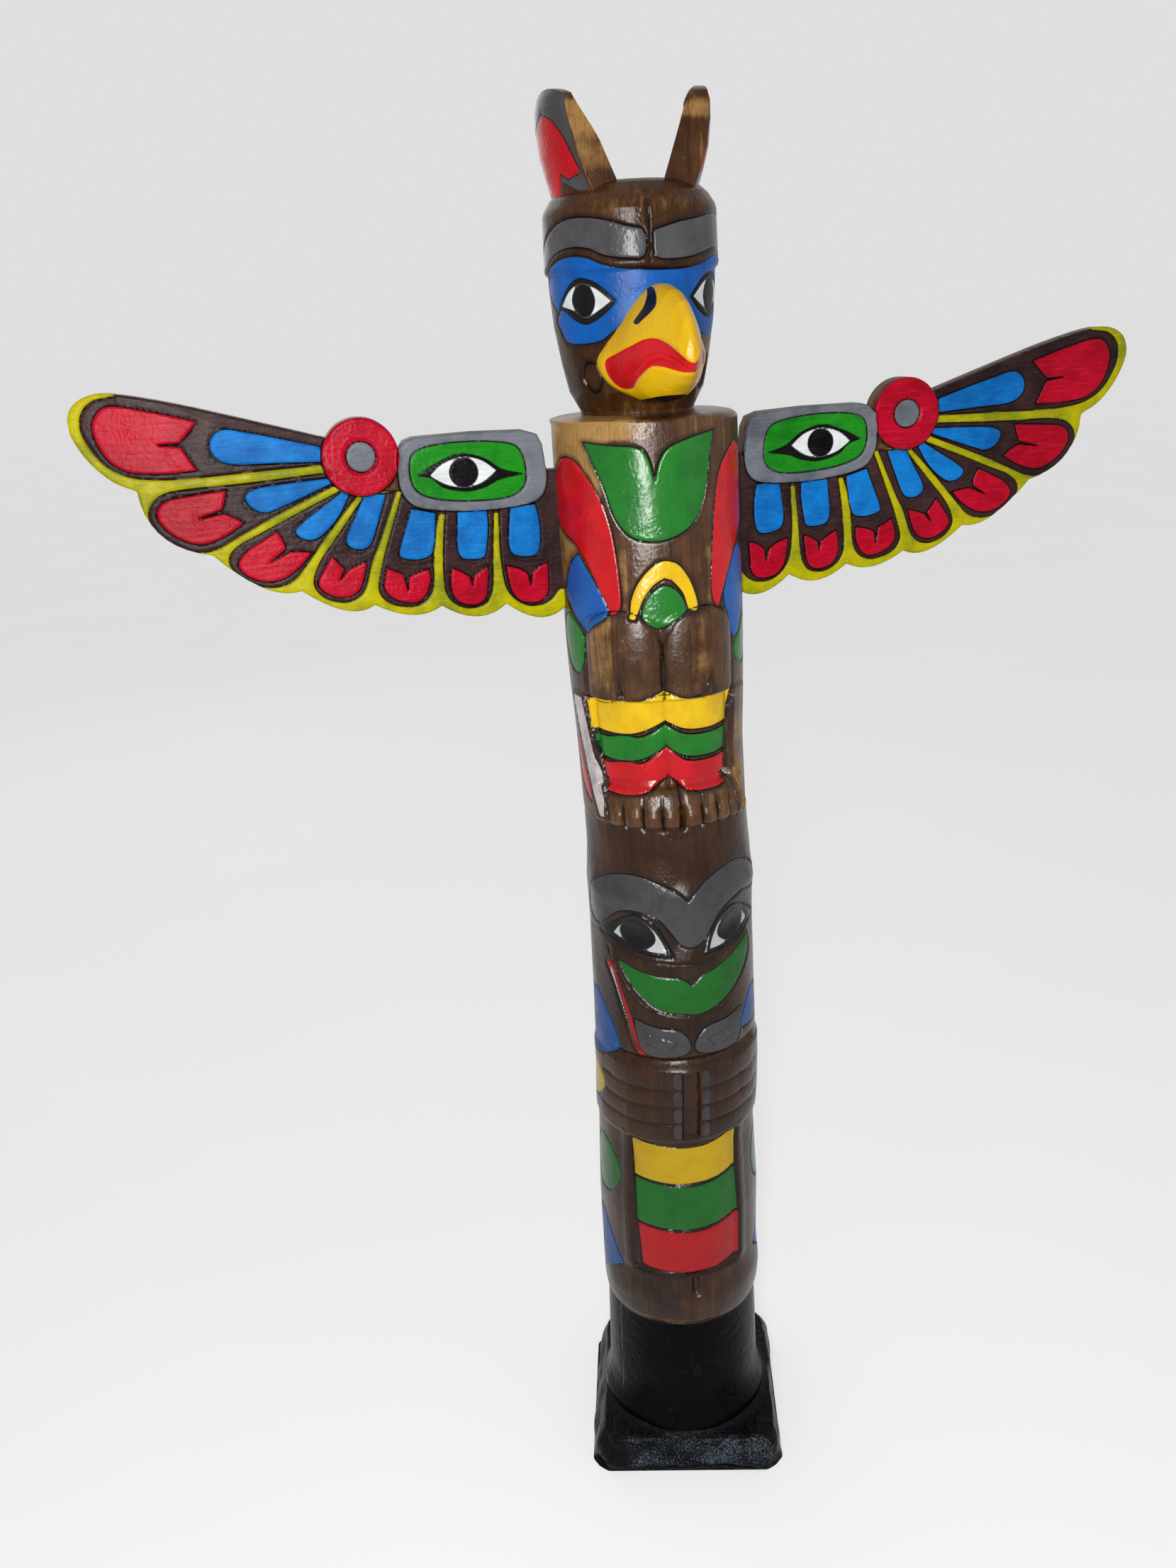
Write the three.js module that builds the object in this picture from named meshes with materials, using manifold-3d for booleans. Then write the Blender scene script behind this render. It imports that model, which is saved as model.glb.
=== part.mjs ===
// Carved and painted totem pole: a winged bird standing on a lower figure.
// One log carries the ears, head, body, lower figure and black foot drum.
// The beak, the two wings and the square plinth are separate pieces.
// Millimetres, +Z up, the figures look along -Y, the viewer's right is +X.
// Origin: centre of the plinth's underside.

import * as THREE from "three";
import * as BufferGeometryUtils from "three/addons/utils/BufferGeometryUtils.js";
import Module from "manifold-3d";

const wasm = await Module();
wasm.setup();

// ---------------------------------------------------------------- sizes

const TOTAL_HEIGHT = 1000;
const GAP = 0.3;

const PLINTH_HEIGHT = 30;
const PLINTH_BASE_WIDTH = 154;
const PLINTH_BASE_DEPTH = 150;
const PLINTH_TOP_WIDTH = 126;
const PLINTH_TOP_DEPTH = 134;
const PLINTH_TURN = -16;
const PLINTH_EDGE = 11;

const POLE_BOTTOM = PLINTH_HEIGHT + GAP;
const NECK_HEIGHT = 817;
const HEAD_TOP = 950;
const HEAD_SHIFT = -5;
const POLE_SEGMENTS = 44;

const EAR_CHORD = 35;
const EAR_NOTCH_FLOOR = 949;

const WING_THICKNESS = 14;
const WING_PAD = 1.5;
const WING_BEVEL = 1.2;
const RING_CENTRE = [183.5, 802];
const RING_RADIUS = 23.5;
const DISC_RADIUS = 9;
const FRAME_LEFT = 67.5;
const FRAME_RIGHT = 160;
const FRAME_BOTTOM = 764;
const FRAME_TOP = 811;
const FRAME_CORNER = 11;
const FRAME_BORDER = 9;
const ROOT_SEAT = 58.5;

const BEAK_TURN = 3;
const BEAK_REACH = 104;

// ---------------------------------------------------------------- helpers

const rad = THREE.MathUtils.degToRad;

// Value at x on a broken line through [position, value] pairs.
function along(table, x) {
  if (x <= table[0][0]) return table[0][1];
  for (let i = 1; i < table.length; i += 1) {
    const [a, va] = table[i - 1];
    const [b, vb] = table[i];
    if (x <= b) return va + ((vb - va) * (x - a)) / (b - a);
  }
  return table[table.length - 1][1];
}

// 0 below a, 1 above b, smooth between.
const rise = (a, b, x) => THREE.MathUtils.smoothstep(x, a, b);

// 1 between a and b, fading to 0 over the soft edge outside them.
const band = (a, b, soft, x) => rise(a - soft, a, x) * (1 - rise(b, b + soft, x));

// A rounded hump of height 1 at the centre, 0 beyond the half width.
function hump(centre, half, x) {
  const t = (x - centre) / half;
  return Math.abs(t) < 1 ? Math.sqrt(1 - t * t) : 0;
}

const bell = (centre, width, x) => Math.exp(-(((x - centre) / width) ** 2));

// Manifold solid from a closed three.js geometry.
function solid(geometry) {
  const plain = geometry.clone();
  plain.deleteAttribute("normal");
  plain.deleteAttribute("uv");
  const merged = BufferGeometryUtils.mergeVertices(plain, 1e-4);
  return new wasm.Manifold(
    new wasm.Mesh({
      numProp: 3,
      vertProperties: new Float32Array(merged.attributes.position.array),
      triVerts: new Uint32Array(merged.index.array),
    })
  );
}

// three.js geometry from a manifold solid.
function geometryOf(body) {
  const mesh = body.getMesh();
  const geometry = new THREE.BufferGeometry();
  const position = new THREE.BufferAttribute(new Float32Array(mesh.vertProperties), 3);
  geometry.setAttribute("position", position);
  geometry.setIndex(new THREE.BufferAttribute(new Uint32Array(mesh.triVerts), 1));
  geometry.computeVertexNormals();
  return geometry;
}

// Lathe about +Z: the profile is a list of [radius, height].
function turned(profile, segments) {
  const points = profile.map(([r, z]) => new THREE.Vector2(r, z));
  const geometry = new THREE.LatheGeometry(points, segments);
  geometry.rotateX(Math.PI / 2);
  return geometry;
}

// Moves every vertex of a geometry with a function of its place.
function reshaped(geometry, move) {
  const position = geometry.attributes.position;
  const point = new THREE.Vector3();
  for (let i = 0; i < position.count; i += 1) {
    point.fromBufferAttribute(position, i);
    move(point);
    position.setXYZ(i, point.x, point.y, point.z);
  }
  return geometry;
}

// ---------------------------------------------------------------- the log

// Sideways wander of the log's axis: the head sits a little to the left.
const AXIS_WANDER = [
  [30, 0],
  [290, 2],
  [340, 4],
  [520, 4],
  [600, 1],
  [780, -1],
  [812, -1],
  [NECK_HEIGHT, HEAD_SHIFT],
  [TOTAL_HEIGHT, HEAD_SHIFT],
];

// Silhouette of the log from the drum to the shoulders.
const LOG_PROFILE = [
  [30, 66],
  [38, 64],
  [48, 61.5],
  [100, 60],
  [132, 59.5],
  [138, 61],
  [183, 61.7],
  [229, 62],
  [290, 60],
  [316, 60.9],
  [350, 60.5],
  [374, 60.7],
  [399, 60.2],
  [461, 59.4],
  [495, 60.2],
  [525, 58],
  [547, 57.3],
  [597, 57.6],
  [645, 59.6],
  [668, 60.2],
  [754, 60.4],
  [803, 60],
  [812, 59.8],
];

const HEAD_PROFILE = [
  [816.5, 37],
  [819, 36.5],
  [831, 43],
  [848, 46.5],
  [871, 50],
  [890, 51.6],
  [899.5, 52],
  [901, 54],
  [904, 54.4],
  [907, 53.6],
  [933, 53.4],
  [940, 50],
  [946, 44],
  [HEAD_TOP, 32],
];

// Rows of the log: closer together where the carving steps.
const ROWS = [
  POLE_BOTTOM, 38, 48, 90, 132, 137, 144, 154, 164, 173, 179, 183, 205, 235, 265, 290, 298, 304,
  314, 330, 345, 358, 364, 368, 374, 384, 396, 408, 420, 432, 444, 455, 464, 473, 482, 492, 502,
  514, 530, 544, 548, 551, 556, 565, 574, 592, 612, 636, 641, 652, 665, 676, 685, 692, 697, 720,
  750, 780, 803, 812,
];

const KNEES = [-39, 15];
const KNEE_HALF = 27;

// How far the carving stands off the silhouette, by angle from the front
// (degrees, positive towards +X) and height.
function carving(angle, z) {
  let d = 0;
  // rounded feet of the lower figure with the split between them
  d += 1.4 * bell(157, 14, z) * band(-70, 62, 20, angle);
  d -= 3.6 * bell(-5, 4, angle) * band(162, 176, 5, z);
  // sunk belly panel between two upright ridges
  d -= 3.2 * band(-50, 29, 4, angle) * band(182, 298, 3, z);
  // forearms and hands laid across the belly
  d += 1.4 * band(306, 360, 7, z) * band(-95, 85, 25, angle);
  d -= 3.4 * bell(-7, 5, angle) * band(306, 356, 5, z);
  // cut under the chin
  d -= 3.4 * bell(368, 5, z) * band(-60, 52, 12, angle);
  // lips and muzzle
  d += 1.6 * bell(388, 12, z) * band(-44, 34, 8, angle);
  d += 2.4 * bell(424, 20, z) * bell(-3, 42, angle);
  // eye hollows on both sides of the nose bridge
  d -= 3.2 * bell(468, 13, z) * (bell(-41, 17, angle) + bell(33, 17, angle));
  d += 1.2 * bell(-3, 9, angle) * band(445, 500, 12, z);
  // low brow over the hollows
  d += 0.8 * band(487, 510, 7, z) * band(-80, 60, 15, angle);
  // feet of the bird, sloping out to the toes and cut under
  d += along([[549, -0.8], [551, 4.2], [557, 4.4], [574, -1.4], [580, 0]], z) *
    (z < 549 || z > 580 ? 0 : 1) * band(-54, 44, 5, angle);
  d -= 2.6 * bell(-5, 3.5, angle) * band(551, 576, 4, z);
  // legs sunk between two side boards
  const legs = band(576, 637, 3, z) * band(-63, 38, 2.5, angle);
  const calves = hump(-38, 27, angle) + hump(13, 26, angle);
  d += legs * (-4.6 + 2.6 * calves);
  d += 1.6 * band(553, 638, 3, z) * (band(-82, -66, 2, angle) + band(41, 58, 2, angle));
  // knees
  for (const knee of KNEES) {
    const top = 697 - 15 * (1 - hump(knee, KNEE_HALF + 2, angle));
    const front = hump(knee, KNEE_HALF, angle);
    const full = (1 - rise(top - 16, top, z)) * rise(638, 641, z);
    d += (-2.2 + 4.6 * front) * full * (Math.abs(angle - knee) < KNEE_HALF ? 1 : 0);
  }
  return d;
}

// Front columns of vertices lie closer together than the back ones.
function spread(phi) {
  const t = phi / Math.PI;
  return phi - 0.48 * Math.sin(Math.PI * t) * (1 - 0.15 * Math.cos(Math.PI * t));
}

function logGeometry() {
  const profile = [[0, POLE_BOTTOM]];
  for (const z of ROWS) profile.push([along(LOG_PROFILE, z), z]);
  profile.push([58.6, 815]);
  profile.push([45, 816.2]);
  for (const [z, r] of HEAD_PROFILE) profile.push([r, z]);
  profile.push([0, HEAD_TOP + 0.8]);
  const geometry = turned(profile, POLE_SEGMENTS);
  return reshaped(geometry, (p) => {
    const r = Math.hypot(p.x, p.y);
    if (r > 1e-6) {
      const angle = spread(Math.atan2(p.x, -p.y));
      const degrees = THREE.MathUtils.radToDeg(angle);
      const cut = p.z > POLE_BOTTOM + 1 && p.z < 804 ? carving(degrees, p.z) : 0;
      p.x = (r + cut) * Math.sin(angle);
      p.y = -(r + cut) * Math.cos(angle);
    }
    p.x += along(AXIS_WANDER, p.z);
  });
}

// The two ears: a flared crown of the log, cut flat in front and behind,
// rounded at the top and sawn apart by a notch with a flat floor.
function earSolid() {
  const crown = turned(
    [
      [0, 925],
      [48, 925],
      [45.5, 938],
      [46.5, 945],
      [50.5, 957],
      [53, 972],
      [54.2, 986],
      [53.2, 995],
      [49, TOTAL_HEIGHT],
      [0, TOTAL_HEIGHT],
    ],
    30
  );
  crown.translate(HEAD_SHIFT, 0, 0);
  const tongue = new THREE.Shape();
  tongue.moveTo(-EAR_CHORD, 915);
  tongue.lineTo(EAR_CHORD, 915);
  tongue.lineTo(EAR_CHORD, 965);
  tongue.bezierCurveTo(EAR_CHORD - 1, 982, EAR_CHORD - 8, 993, 15, TOTAL_HEIGHT + 1);
  tongue.lineTo(-15, TOTAL_HEIGHT + 1);
  tongue.bezierCurveTo(8 - EAR_CHORD, 993, 1 - EAR_CHORD, 982, -EAR_CHORD, 965);
  tongue.closePath();
  const side = new THREE.ExtrudeGeometry(tongue, { depth: 140, bevelEnabled: false, curveSegments: 5 });
  side.translate(0, 0, -70);
  side.rotateX(Math.PI / 2);
  side.rotateZ(Math.PI / 2);
  const gap = new THREE.Shape();
  gap.moveTo(HEAD_SHIFT - 15, EAR_NOTCH_FLOOR);
  gap.lineTo(HEAD_SHIFT + 14, EAR_NOTCH_FLOOR);
  gap.lineTo(HEAD_SHIFT + 35, TOTAL_HEIGHT + 5);
  gap.lineTo(HEAD_SHIFT - 41, TOTAL_HEIGHT + 5);
  gap.closePath();
  const notch = new THREE.ExtrudeGeometry(gap, { depth: 140, bevelEnabled: false });
  notch.translate(0, 0, -70);
  notch.rotateX(Math.PI / 2);
  return solid(crown).intersect(solid(side)).subtract(solid(notch));
}

const pole = geometryOf(solid(logGeometry()).add(earSolid()));

// ---------------------------------------------------------------- beak

// Side view of the beak: reach forward from the head's axis, top, bottom
// and half width.
const BEAK_TOP = [
  [20, 868],
  [30, 883],
  [38, 889],
  [46, 891.8],
  [60, 890.5],
  [75, 887],
  [88, 880.5],
  [97, 872],
  [102, 862],
  [BEAK_REACH, 852],
];
const BEAK_BOTTOM = [
  [20, 832],
  [34, 825],
  [46, 823.6],
  [60, 825],
  [75, 829],
  [88, 834.5],
  [97, 840],
  [101, 843.5],
  [BEAK_REACH, 848],
];
const BEAK_HALF = [
  [20, 33],
  [28, 34.5],
  [37, 33.4],
  [46, 29.2],
  [57, 25],
  [66, 21.4],
  [75, 17.6],
  [84, 13.8],
  [92, 10.2],
  [98, 7.2],
  [102, 4.2],
  [BEAK_REACH, 0.8],
];
// The long mouth, sunk a little into both flanks.
const MOUTH_LINE = [
  [30, 846],
  [55, 848],
  [75, 852],
  [90, 850],
  [BEAK_REACH, 844],
];
const BEAK_ROOT = 20;
const BEAK_WAIST = 0.4;
const BEAK_NARROWING = 0.32;
const MOUTH_DEPTH = 1.8;

function beakGeometry() {
  const ball = new THREE.SphereGeometry(1, 20, 15);
  return reshaped(ball, (p) => {
    // the ball's poles lie on Y: from the buried root to the tip
    const polar = Math.acos(THREE.MathUtils.clamp(p.y, -1, 1)) / Math.PI;
    const share = 0.5 * polar + 0.5 * Math.sin((polar * Math.PI) / 2);
    const reach = THREE.MathUtils.lerp(BEAK_ROOT, BEAK_REACH, share);
    const ring = Math.hypot(p.x, p.z);
    const onAxis = ring < 1e-6;
    const across = onAxis ? 0 : p.x / ring;
    const up = onAxis ? 0 : p.z / ring;
    const top = along(BEAK_TOP, reach);
    const bottom = along(BEAK_BOTTOM, reach);
    const middle = bottom + BEAK_WAIST * (top - bottom);
    const z = middle + up * (up > 0 ? top - middle : middle - bottom);
    const mouth = MOUTH_DEPTH * bell(along(MOUTH_LINE, reach), 7, z) * band(42, 90, 8, reach);
    const narrow = up > 0 ? 1 - BEAK_NARROWING * up : 1;
    const half = Math.max(0.4, along(BEAK_HALF, reach) - mouth * Math.abs(across));
    p.set(across * half * narrow, -reach, z);
  });
}

function beakSolid() {
  const raw = beakGeometry();
  raw.rotateZ(rad(BEAK_TURN));
  raw.translate(HEAD_SHIFT, 0, 0);
  // the seat is the head's own skin, a little larger
  const seat = [[0, 805], [HEAD_PROFILE[0][1] + GAP, 805]];
  for (const [z, r] of HEAD_PROFILE.slice(1)) seat.push([r + GAP, z]);
  seat.push([0, HEAD_TOP + 1]);
  const head = turned(seat, POLE_SEGMENTS);
  reshaped(head, (p) => {
    const r = Math.hypot(p.x, p.y);
    if (r > 1e-6) {
      const angle = spread(Math.atan2(p.x, -p.y));
      p.x = r * Math.sin(angle);
      p.y = -r * Math.cos(angle);
    }
    p.x += HEAD_SHIFT;
  });
  return solid(raw).subtract(solid(head));
}

const beak = geometryOf(beakSolid());

// ---------------------------------------------------------------- wings

// Cusps between the feather ends and the lowest point of each feather,
// from the big tip feather to the one beside the body.
const CUSPS = [[318, 792], [280, 750], [229.5, 722.6], [185, 709], [142, 704], [99.5, 701], [62, 694]];
const LOWEST = [[308, 764], [253, 727], [204, 707.5], [161.5, 700], [119.5, 694.5], [78, 689.5]];

function wingOutline() {
  const s = new THREE.Shape();
  s.moveTo(CUSPS[6][0], CUSPS[6][1]);
  for (let i = 5; i >= 0; i -= 1) {
    const [ax, az] = CUSPS[i + 1];
    const [bx, bz] = CUSPS[i];
    const [mx, mz] = LOWEST[i];
    s.quadraticCurveTo(2 * mx - (ax + bx) / 2, 2 * mz - (az + bz) / 2, bx, bz);
  }
  s.bezierCurveTo(334, 797, 349, 820, 350, 832);
  s.bezierCurveTo(351, 845, 338, 851, 322, 848.5);
  s.bezierCurveTo(300, 844, 262, 829, 207, 815.5);
  s.lineTo(150, 800);
  s.lineTo(74, 775);
  s.quadraticCurveTo(66, 784, ROOT_SEAT - 4, 785);
  s.lineTo(ROOT_SEAT - 4, 694);
  s.closePath();
  return s;
}

function roundedBox(left, right, bottom, top, corner) {
  const s = new THREE.Shape();
  s.moveTo(left + corner, bottom);
  s.lineTo(right - corner, bottom);
  s.quadraticCurveTo(right, bottom, right, bottom + corner);
  s.lineTo(right, top - corner);
  s.quadraticCurveTo(right, top, right - corner, top);
  s.lineTo(left + corner, top);
  s.quadraticCurveTo(left, top, left, top - corner);
  s.lineTo(left, bottom + corner);
  s.quadraticCurveTo(left, bottom, left + corner, bottom);
  return s;
}

// Board standing on the XZ plane, its front face at y = front.
function board(shape, front, thickness, bevel, curveSegments) {
  const options = bevel
    ? {
        depth: thickness - 2 * bevel,
        bevelEnabled: true,
        bevelThickness: bevel,
        bevelSize: bevel,
        bevelOffset: -bevel,
        bevelSegments: 1,
        curveSegments,
      }
    : { depth: thickness, bevelEnabled: false, curveSegments };
  const geometry = new THREE.ExtrudeGeometry(shape, options);
  geometry.translate(0, 0, bevel || 0);
  geometry.rotateX(Math.PI / 2);
  geometry.translate(0, front + thickness, 0);
  return geometry;
}

// Round pad standing on the board's front face.
function pad(centre, radius, front, thickness, segments) {
  const geometry = new THREE.CylinderGeometry(radius, radius, thickness, segments);
  geometry.translate(centre[0], front + thickness / 2, centre[1]);
  return geometry;
}

function wingSolid(side) {
  const plank = solid(board(wingOutline(), 0, WING_THICKNESS, WING_BEVEL, 5));
  const ring = solid(pad(RING_CENTRE, RING_RADIUS, -WING_PAD, WING_THICKNESS + WING_PAD, 24));
  const hollow = solid(pad(RING_CENTRE, DISC_RADIUS + 1.2, -WING_PAD - 1, 1.8, 16));
  const disc = solid(pad(RING_CENTRE, DISC_RADIUS, -WING_PAD - 0.01, 1.5, 16));
  const outer = roundedBox(FRAME_LEFT, FRAME_RIGHT, FRAME_BOTTOM, FRAME_TOP, FRAME_CORNER);
  const inner = roundedBox(
    FRAME_LEFT + FRAME_BORDER,
    FRAME_RIGHT - FRAME_BORDER,
    FRAME_BOTTOM + FRAME_BORDER,
    FRAME_TOP - FRAME_BORDER,
    FRAME_CORNER - 2
  );
  const frame = solid(board(outer, -WING_PAD, WING_THICKNESS + WING_PAD, 0, 4));
  const field = solid(board(inner, -WING_PAD - 1, 1.6, 0, 4));
  let wing = plank.add(frame).add(ring).subtract(hollow).subtract(field).add(disc);
  if (side < 0) wing = wing.scale([-1, 1, 1]);
  // the root is hollowed to sit against the round log
  const log = new THREE.CylinderGeometry(61.1, 61.1, 160, 60);
  log.rotateX(Math.PI / 2);
  log.translate(-0.5, 0, 740);
  return wing.subtract(solid(log));
}

const leftWing = geometryOf(wingSolid(-1));
const rightWing = geometryOf(wingSolid(1));

// ---------------------------------------------------------------- plinth

// Hewn block: the sides slope in, the corners are knocked off unevenly.
function plinthGeometry() {
  const block = new THREE.BoxGeometry(2, 2, 1, 5, 5, 3);
  return reshaped(block, (p) => {
    const t = p.z + 0.5;
    const inset = t < 0.34 ? 0 : t < 0.7 ? 0.45 : 1;
    const width = THREE.MathUtils.lerp(PLINTH_BASE_WIDTH, PLINTH_TOP_WIDTH, inset) / 2;
    const depth = THREE.MathUtils.lerp(PLINTH_BASE_DEPTH, PLINTH_TOP_DEPTH, inset) / 2;
    const level = t > 0.99 ? PLINTH_HEIGHT : t * (PLINTH_HEIGHT - 2);
    const knock = Math.abs(p.x) > 0.99 && Math.abs(p.y) > 0.99 ? 1 - PLINTH_EDGE / 150 : 1;
    const edge = Math.max(Math.abs(p.x), Math.abs(p.y)) > 0.99;
    const wobble = edge && t < 0.99 ? 1.6 * Math.sin(5.1 * p.x + 3.7 * p.y + 4 * t) : 0;
    const hewn = t < 0.01 ? 0 : wobble;
    const flat = t < 0.01 && edge ? 0.99 : 1;
    p.set(p.x * (width + hewn) * knock * flat, p.y * (depth + hewn) * knock * flat, level);
  });
}

const plinth = plinthGeometry();
plinth.rotateZ(rad(PLINTH_TURN));

// ---------------------------------------------------------------- scene

const group = new THREE.Group();

function place(name, geometry, colour, roughness) {
  const material = new THREE.MeshStandardMaterial({ color: colour, roughness, metalness: 0 });
  const mesh = new THREE.Mesh(geometry, material);
  mesh.name = name;
  group.add(mesh);
}

place("carved_pole", pole, 0x6b4a28, 0.35);
place("beak", beak, 0xd8ab0c, 0.3);
place("left_wing", leftWing, 0x5a3a22, 0.32);
place("right_wing", rightWing, 0x593b23, 0.32);
place("plinth", plinth, 0x0d0d0f, 0.28);

export default group;
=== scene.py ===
# %% [markdown]
# # A carved and painted totem pole
# One log is carved into a beaked bird standing on a lower figure. Two flat boards
# are its wings, the beak is glued on, and a black plinth carries the log.
# The CAD frame holds the size of every piece. Here each piece gets the carved
# relief, the paint and the varnish that a carver would give it.

# %% Load the frame
import math

import bmesh
import bpy
import numpy as np
from mathutils import Matrix, Vector


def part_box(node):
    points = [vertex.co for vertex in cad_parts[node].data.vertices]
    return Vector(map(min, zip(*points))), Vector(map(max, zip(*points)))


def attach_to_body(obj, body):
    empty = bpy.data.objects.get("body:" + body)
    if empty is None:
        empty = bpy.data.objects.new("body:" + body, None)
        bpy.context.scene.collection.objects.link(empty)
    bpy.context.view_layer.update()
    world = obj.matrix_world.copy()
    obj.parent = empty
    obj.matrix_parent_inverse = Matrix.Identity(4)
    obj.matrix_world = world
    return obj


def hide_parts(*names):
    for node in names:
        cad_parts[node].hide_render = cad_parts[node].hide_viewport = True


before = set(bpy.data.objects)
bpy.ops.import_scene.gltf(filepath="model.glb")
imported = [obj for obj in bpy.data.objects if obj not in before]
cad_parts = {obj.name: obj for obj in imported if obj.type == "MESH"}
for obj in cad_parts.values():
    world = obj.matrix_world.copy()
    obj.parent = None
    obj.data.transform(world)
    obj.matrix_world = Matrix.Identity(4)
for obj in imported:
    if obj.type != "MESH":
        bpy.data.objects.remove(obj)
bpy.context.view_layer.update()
MM = 0.001
print("CAD nodes:", sorted(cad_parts))

# %% [markdown]
# ## Camera
# The pole is seen from a little above its shoulders, slightly from the bird's
# right hand side, with a wide lens held close. The head is nearly at eye height
# and the plinth is looked down on.

# %% Camera
TURN = 15.97
DISTANCE = 0.855
EYE_HEIGHT = 0.8705
DOWN = 19.75
ASIDE = -3.43
ROLL = -3.5
LENS = 29.3


def place_camera():
    turn, aside, down, roll = (math.radians(v) for v in (TURN, TURN + ASIDE, DOWN, ROLL))
    eye = Vector((-DISTANCE * math.sin(turn), -DISTANCE * math.cos(turn), EYE_HEIGHT))
    look = Vector((math.sin(aside) * math.cos(down), math.cos(aside) * math.cos(down),
                   -math.sin(down)))
    level = Vector((math.cos(aside), -math.sin(aside), 0))
    above = level.cross(look)
    right = math.cos(roll) * level + math.sin(roll) * above
    top = -math.sin(roll) * level + math.cos(roll) * above
    data = bpy.data.cameras.new("camera")
    data.sensor_width = 36
    data.lens = LENS
    data.clip_start = 0.01
    camera = bpy.data.objects.new("camera", data)
    turned = Matrix((right, top, -look)).transposed().to_4x4()
    camera.matrix_world = Matrix.Translation(eye) @ turned
    bpy.context.collection.objects.link(camera)
    bpy.context.scene.camera = camera
    return camera


print("camera at", [round(v, 3) for v in place_camera().matrix_world.translation])

# %% [markdown]
# ## Drawing on the log
# A carver draws each motif on the wood before cutting. Here a motif is a closed
# outline through a few points; the marked points are corners and the others are
# passed in a smooth curve. On the log the first number is the angle round it in
# degrees, from the front towards the viewer's right, and the second the height in
# millimetres. Every point of the wood then gets its distance to the outline, which
# is what cuts the groove and ends the paint.

# %% Outlines and distances
LOG_RADIUS = 60
DEGREE_MM = LOG_RADIUS * math.pi / 180


def curve(points, corners=(), closed=True, steps=8):
    """Points of a smooth line that is broken only at the numbered corners."""
    p = np.array(points, float)
    n = len(p)
    out = []
    for i in range(n if closed else n - 1):
        a, b = p[i], p[(i + 1) % n]
        before = a if i in corners or (not closed and i == 0) else p[i - 1]
        last = (i + 1) % n in corners or (not closed and i == n - 2)
        after = b if last else p[(i + 2) % n]
        t = np.linspace(0, 1, steps, endpoint=False)[:, None]
        out.append(0.5 * (2 * a + (b - before) * t + (2 * before - 5 * a + 4 * b - after) * t**2
                          + (3 * a - before - 3 * b + after) * t**3))
    line = np.vstack(out)
    return line if closed else np.vstack([line, p[-1]])


def nearest(points, line, closed=True):
    """Distance from each point to the line (negative inside a closed one), and the foot on it."""
    ends = np.roll(line, -1, axis=0) if closed else line[1:]
    starts = line if closed else line[:-1]
    best = np.full(len(points), 1e9)
    foot = points.copy()
    inside = np.zeros(len(points), bool)
    for a, b in zip(starts, ends):
        along = b - a
        length = float(along @ along)
        if length < 1e-12:
            continue
        t = np.clip(((points - a) @ along) / length, 0, 1)
        here = a + t[:, None] * along
        gap = np.hypot(*(points - here).T)
        closer = gap < best
        best[closer] = gap[closer]
        foot[closer] = here[closer]
        if closed and a[1] != b[1]:
            crosses = (points[:, 1] < a[1]) != (points[:, 1] < b[1])
            reach = a[0] + (points[:, 1] - a[1]) / (b[1] - a[1]) * along[0]
            inside ^= crosses & (points[:, 0] < reach)
    return np.where(inside, -best, best) if closed else best, foot


print("one degree round the log is", round(DEGREE_MM, 2), "mm")

# %% A drawing and how it is read
# The paints in the order they go on; a later one lies over an earlier one.
PAINTS = ("yellow", "ground", "grey", "green", "blue", "red", "disc", "nail", "pale_strip",
          "black", "white", "pupil")
FAR = 6.0


class Drawing:
    """The motifs on one piece, in millimetres on its flattened surface."""

    def __init__(self, stretch=1.0):
        self.stretch = stretch
        self.shapes = []
        self.lines = []

    def paint(self, colour, points, corners=(), groove=0.9, width=1.2, lift=0.0, soft=1.0):
        line = curve(points, corners) * (self.stretch, 1)
        self.shapes.append((colour, line, groove, width, lift, soft, 0.0))

    def cut(self, points, depth, width, corners=(), ink=0.25):
        line = curve(points, corners, closed=False) * (self.stretch, 1)
        self.lines.append((None, line, depth, width, 0.0, 1.0, ink))

    def read(self, flat):
        """Relief and paint distances at flattened points, and the foot of the nearest groove."""
        n = len(flat)
        dist = {c: np.full(n, FAR) for c in PAINTS}
        raised, cut_in = np.zeros(n), np.zeros(n)
        line = np.full(n, FAR)
        foot = flat.copy()
        for colour, path, groove, width, lift, soft, ink in self.shapes + self.lines:
            closed = colour is not None
            low, high = path.min(0) - FAR, path.max(0) + FAR
            near = np.where(((flat > low) & (flat < high)).all(1))[0]
            if not len(near):
                continue
            d, f = nearest(flat[near], path, closed)
            if colour in dist:
                dist[colour][near] = np.minimum(dist[colour][near], np.maximum(d, -FAR))
            if closed:
                raised[near] += lift * np.clip(0.5 - d / (2 * soft), 0, 1)
                covered = near[d < -0.6]
                cut_in[covered] = 0
                line[covered] = FAR
                foot[covered] = flat[covered]
            if groove > 0:
                cutting = np.clip(1 - np.abs(d) / width, 0, 1) ** 1.3
                cut_in[near] = np.minimum(cut_in[near], -groove * cutting)
                gap = np.abs(d) + ink
                closer = gap < line[near]
                line[near[closer]] = gap[closer]
                foot[near[closer]] = f[closer]
        return raised + cut_in, dist, line, foot


def flipped(points, side, middle=0):
    """The points set out from a middle line, towards the side given as 1 or -1."""
    return [(middle + side * x, z) for x, z in points]


print("paints, first to last:", ", ".join(PAINTS))


# %% [markdown]
# ## Small helpers for surfaces
# Soft steps and humps shape the wood. They are the strokes of the gouge: a band
# that fades at its edges, a rounded hump, a bell.

# %% Gouge strokes
def rise(a, b, x):
    t = np.clip((x - a) / (b - a), 0, 1)
    return t * t * (3 - 2 * t)


def band(a, b, soft, x):
    return rise(a - soft, a, x) * (1 - rise(b, b + soft, x))


def bell(centre, width, x):
    return np.exp(-(((x - centre) / width) ** 2))


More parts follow.
